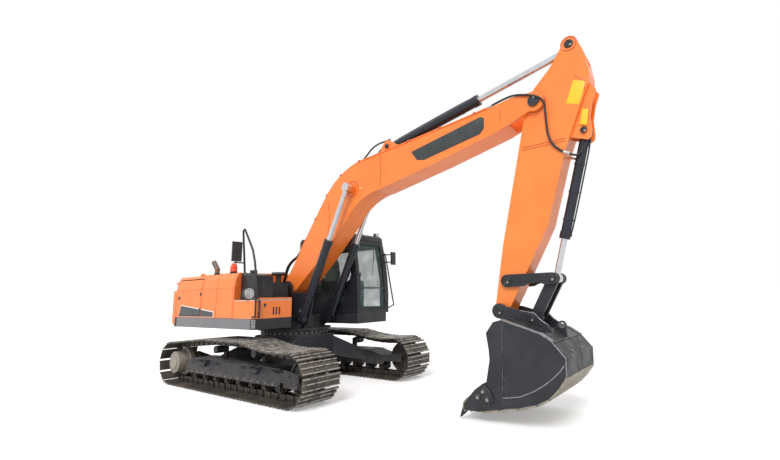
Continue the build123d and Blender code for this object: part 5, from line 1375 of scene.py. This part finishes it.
# Bucket
# Side plates and a bent wrapper of wear-resisting steel, welded outside with a bright bead and painted
# charcoal. Wear bars cross its back, cutters are bolted to its sides and each tooth sits in an adapter.
bucket = (turned(*arm, 2900, 0), -109.5)
bucket_coat = Coat("bucket_paint", "bucket_steel", (0.013, 0.014, 0.018))
bucket_coat.mottled((0.026, 0.028, 0.034), 3.0, 0.8).dusty(dust, 0.07).edged(bare, 0.010, 0.8)
bucket_paint = bucket_coat.grained(200, 0.22).sheen_between(0.38, 0.6).material
weld_coat = Coat("bright_weld", "bucket_steel", (0.34, 0.35, 0.37), 0.4, 0.7)
bright_weld = weld_coat.mottled((0.13, 0.13, 0.14), 30, 0.8).grained(420, 0.5, 0.001).sheen_between(
    0.3, 0.55, 30).material
bar_coat = Coat("bar_steel", "bucket_steel", (0.25, 0.22, 0.165), 0.45, 0.3)
bar_coat.mottled((0.36, 0.32, 0.24), 9, 0.8).dusty(dust, 0.3).edged(bare, 0.008, 0.8)
bar_steel = bar_coat.grained(160, 0.4, 0.001).sheen_between(0.35, 0.6).material
finish_nodes(bucket_paint, "bucket")
bucket_side = 600
bucket_reach = 1400
wrapper = [(x * bucket_reach, z * bucket_reach) for x, z in [
    (0.023, 0.141), (0.016, 0.333), (0.011, 0.512), (0.036, 0.622), (0.115, 0.758), (0.254, 0.800),
    (0.358, 0.771), (0.474, 0.718), (0.563, 0.639), (0.662, 0.505), (0.752, 0.343), (0.855, 0.172),
    (0.908, 0.029)]]
mouth = [(x * bucket_reach, z * bucket_reach) for x, z in [
    (0.863, 0.010), (0.70, 0.075), (0.615, 0.134), (0.582, 0.166), (0.390, 0.143), (0.311, 0.111),
    (0.179, 0.043), (0.063, 0.082)]]
rim_weld = [(905, 480), (793, 681), (660, 820), (534, 919), (420, 990), (326, 1039), (240, 1068)]
heel = [(1002, 560), (905, 720), (788, 888), (664, 1000), (501, 1075), (356, 1112)]
front_bm, heel_bm, weld_bm = bmesh.new(), bmesh.new(), bmesh.new()
for side in (-1, 1):
    inside, outside = side * (bucket_side - 1), side * (bucket_side + 7)
    plate(front_bm, bucket, [wrapper[0]] + mouth[::-1] + [wrapper[-1], wrapper[-2], (1065, 460),
                                                          (1032, 525), (75, 253)],
          inside, outside, 2)
    for points in ([(521, 199), (540, 250)], [(450, 170), (470, 262)],
                   [(560, 330), (640, 372), (700, 470)]):
        bead(front_bm, bucket, points, side * (bucket_side + 2), 4)
    plate(heel_bm, bucket, rim_weld + heel[::-1], inside, side * (bucket_side + 5), 2)
    bead(weld_bm, bucket, rim_weld, side * (bucket_side + 5), 7)
    bead(weld_bm, bucket, wrapper[3:], side * (bucket_side - 3), 6)
    bead(weld_bm, bucket, [(-106, 280), (-135, 472), (-85, 568), (-60, 660)], side * 246, 5)
    flange = wrapper[:4]
    plate(weld_bm, bucket, flange + [(x - 16, z + 3) for x, z in flange[::-1]],
          *sorted((side * (bucket_side - 70), side * (bucket_side - 2))), 2)
piece_of("bucket_front_plates", front_bm, bucket_paint, "bucket")
piece_of("bucket_heel_plates", heel_bm, bucket_paint, "bucket")
turn(weld_bm, spot(bucket, -79, -21, 768), Vector((0, -1, 0)),
     [(31, 0), (42, 0), (40, 5), (33, 5)], 30, True)
piece_of("bucket_welds", weld_bm, bright_weld, "bucket")


def outward(i):
    """The direction out of the wrapper at a stretch of it."""
    (x0, z0), (x1, z1) = wrapper[i], wrapper[i + 1]
    length = math.hypot(x1 - x0, z1 - z0)
    return (-(z1 - z0) / length, (x1 - x0) / length)


bar_thick = 20
bar_bm = bmesh.new()
for i, start, end in ((5, 0.06, 0.99), (6, 0.01, 0.88), (7, 0.06, 0.92), (8, 0.06, 0.92), (9, 0.04, 0.92),
                      (10, 0.06, 0.86)):
    (x0, z0), (x1, z1) = wrapper[i], wrapper[i + 1]
    out_x, out_z = outward(i)
    low = (x0 + (x1 - x0) * start, z0 + (z1 - z0) * start)
    high = (x0 + (x1 - x0) * end, z0 + (z1 - z0) * end)
    corners = [low, high, (high[0] + bar_thick * out_x, high[1] + bar_thick * out_z),
               (low[0] + bar_thick * out_x, low[1] + bar_thick * out_z)]
    plate(bar_bm, bucket, corners, -bucket_side - 12, bucket_side + 12, 5)
piece_of("wear_bars", bar_bm, bar_steel, "bucket")
back_bm = bmesh.new()
pipe(back_bm, bucket, [(47, -bucket_side + 10, 880), (47, bucket_side - 10, 880)], 9, False, 2)
pipe(back_bm, bucket, [(12, -bucket_side + 10, 470), (12, bucket_side - 10, 470)], 6, False, 2)
piece_of("bucket_back_seams", back_bm, bucket_paint, "bucket")
marks = [(spot(bucket, 132, y, 1020), way(bucket, -0.87, 0, 0.5), 1.2) for y in (-228, 168)]
set_out("bucket_back_bolts", bolt, marks, bare_steel, "bucket")

# Side cutters and teeth
# The cutters and adapters are cast steel. Three bolts stand on raised pads on each cutter, and a pin head
# shows on both sides of each adapter.
cutter = [(1265, 65), (1090, 60), (905, 158), (862, 205), (868, 262), (912, 345), (985, 392), (1062, 352),
          (1135, 255)]
link_pin = (2889, 451)
cutter_bm = bmesh.new()
cutter_bolts = []
for side in (-1, 1):
    plate(cutter_bm, bucket, cutter, side * (bucket_side + 4), side * (bucket_side + 30), 7)
    for x, z in ((935, 235), (1000, 318), (1030, 190)):
        pad = [(x - 40, z - 6), (x - 8, z - 38), (x + 38, z - 8), (x + 10, z + 36), (x - 22, z + 30)]
        plate(cutter_bm, bucket, pad, side * (bucket_side + 28), side * (bucket_side + 46), 6)
        cutter_bolts.append((spot(bucket, x, side * (bucket_side + 46), z), Vector((0, side, 0)), 1.3))
piece_of("side_cutters", cutter_bm, bucket_paint, "bucket")
set_out("cutter_bolts", bolt, cutter_bolts, bare_steel, "bucket")
adapter_bm = bmesh.new()
tooth_pins = []
for y in (-545, -272.5, 0, 272.5, 545):
    plate(adapter_bm, bucket, [(1085, 66), (1180, 100), (1262, 84), (1300, 40), (1232, -6), (1180, -6),
                               (1120, 26)],
          y - 46, y + 46, 8)
    for side in (-1, 1):
        tooth_pins.append((spot(bucket, 1238, y + side * 46, 42), Vector((0, side, 0)), 1.0))
piece_of("tooth_adapters", adapter_bm, bar_steel, "bucket")
set_out("tooth_pins", bolt, tooth_pins, bare_steel, "bucket")
pin_ends("bucket_pin", bucket, 0, 0, 245, 56, "bucket")
pin_ends("bucket_link_pin", arm, *link_pin, 245, 50, "bucket")
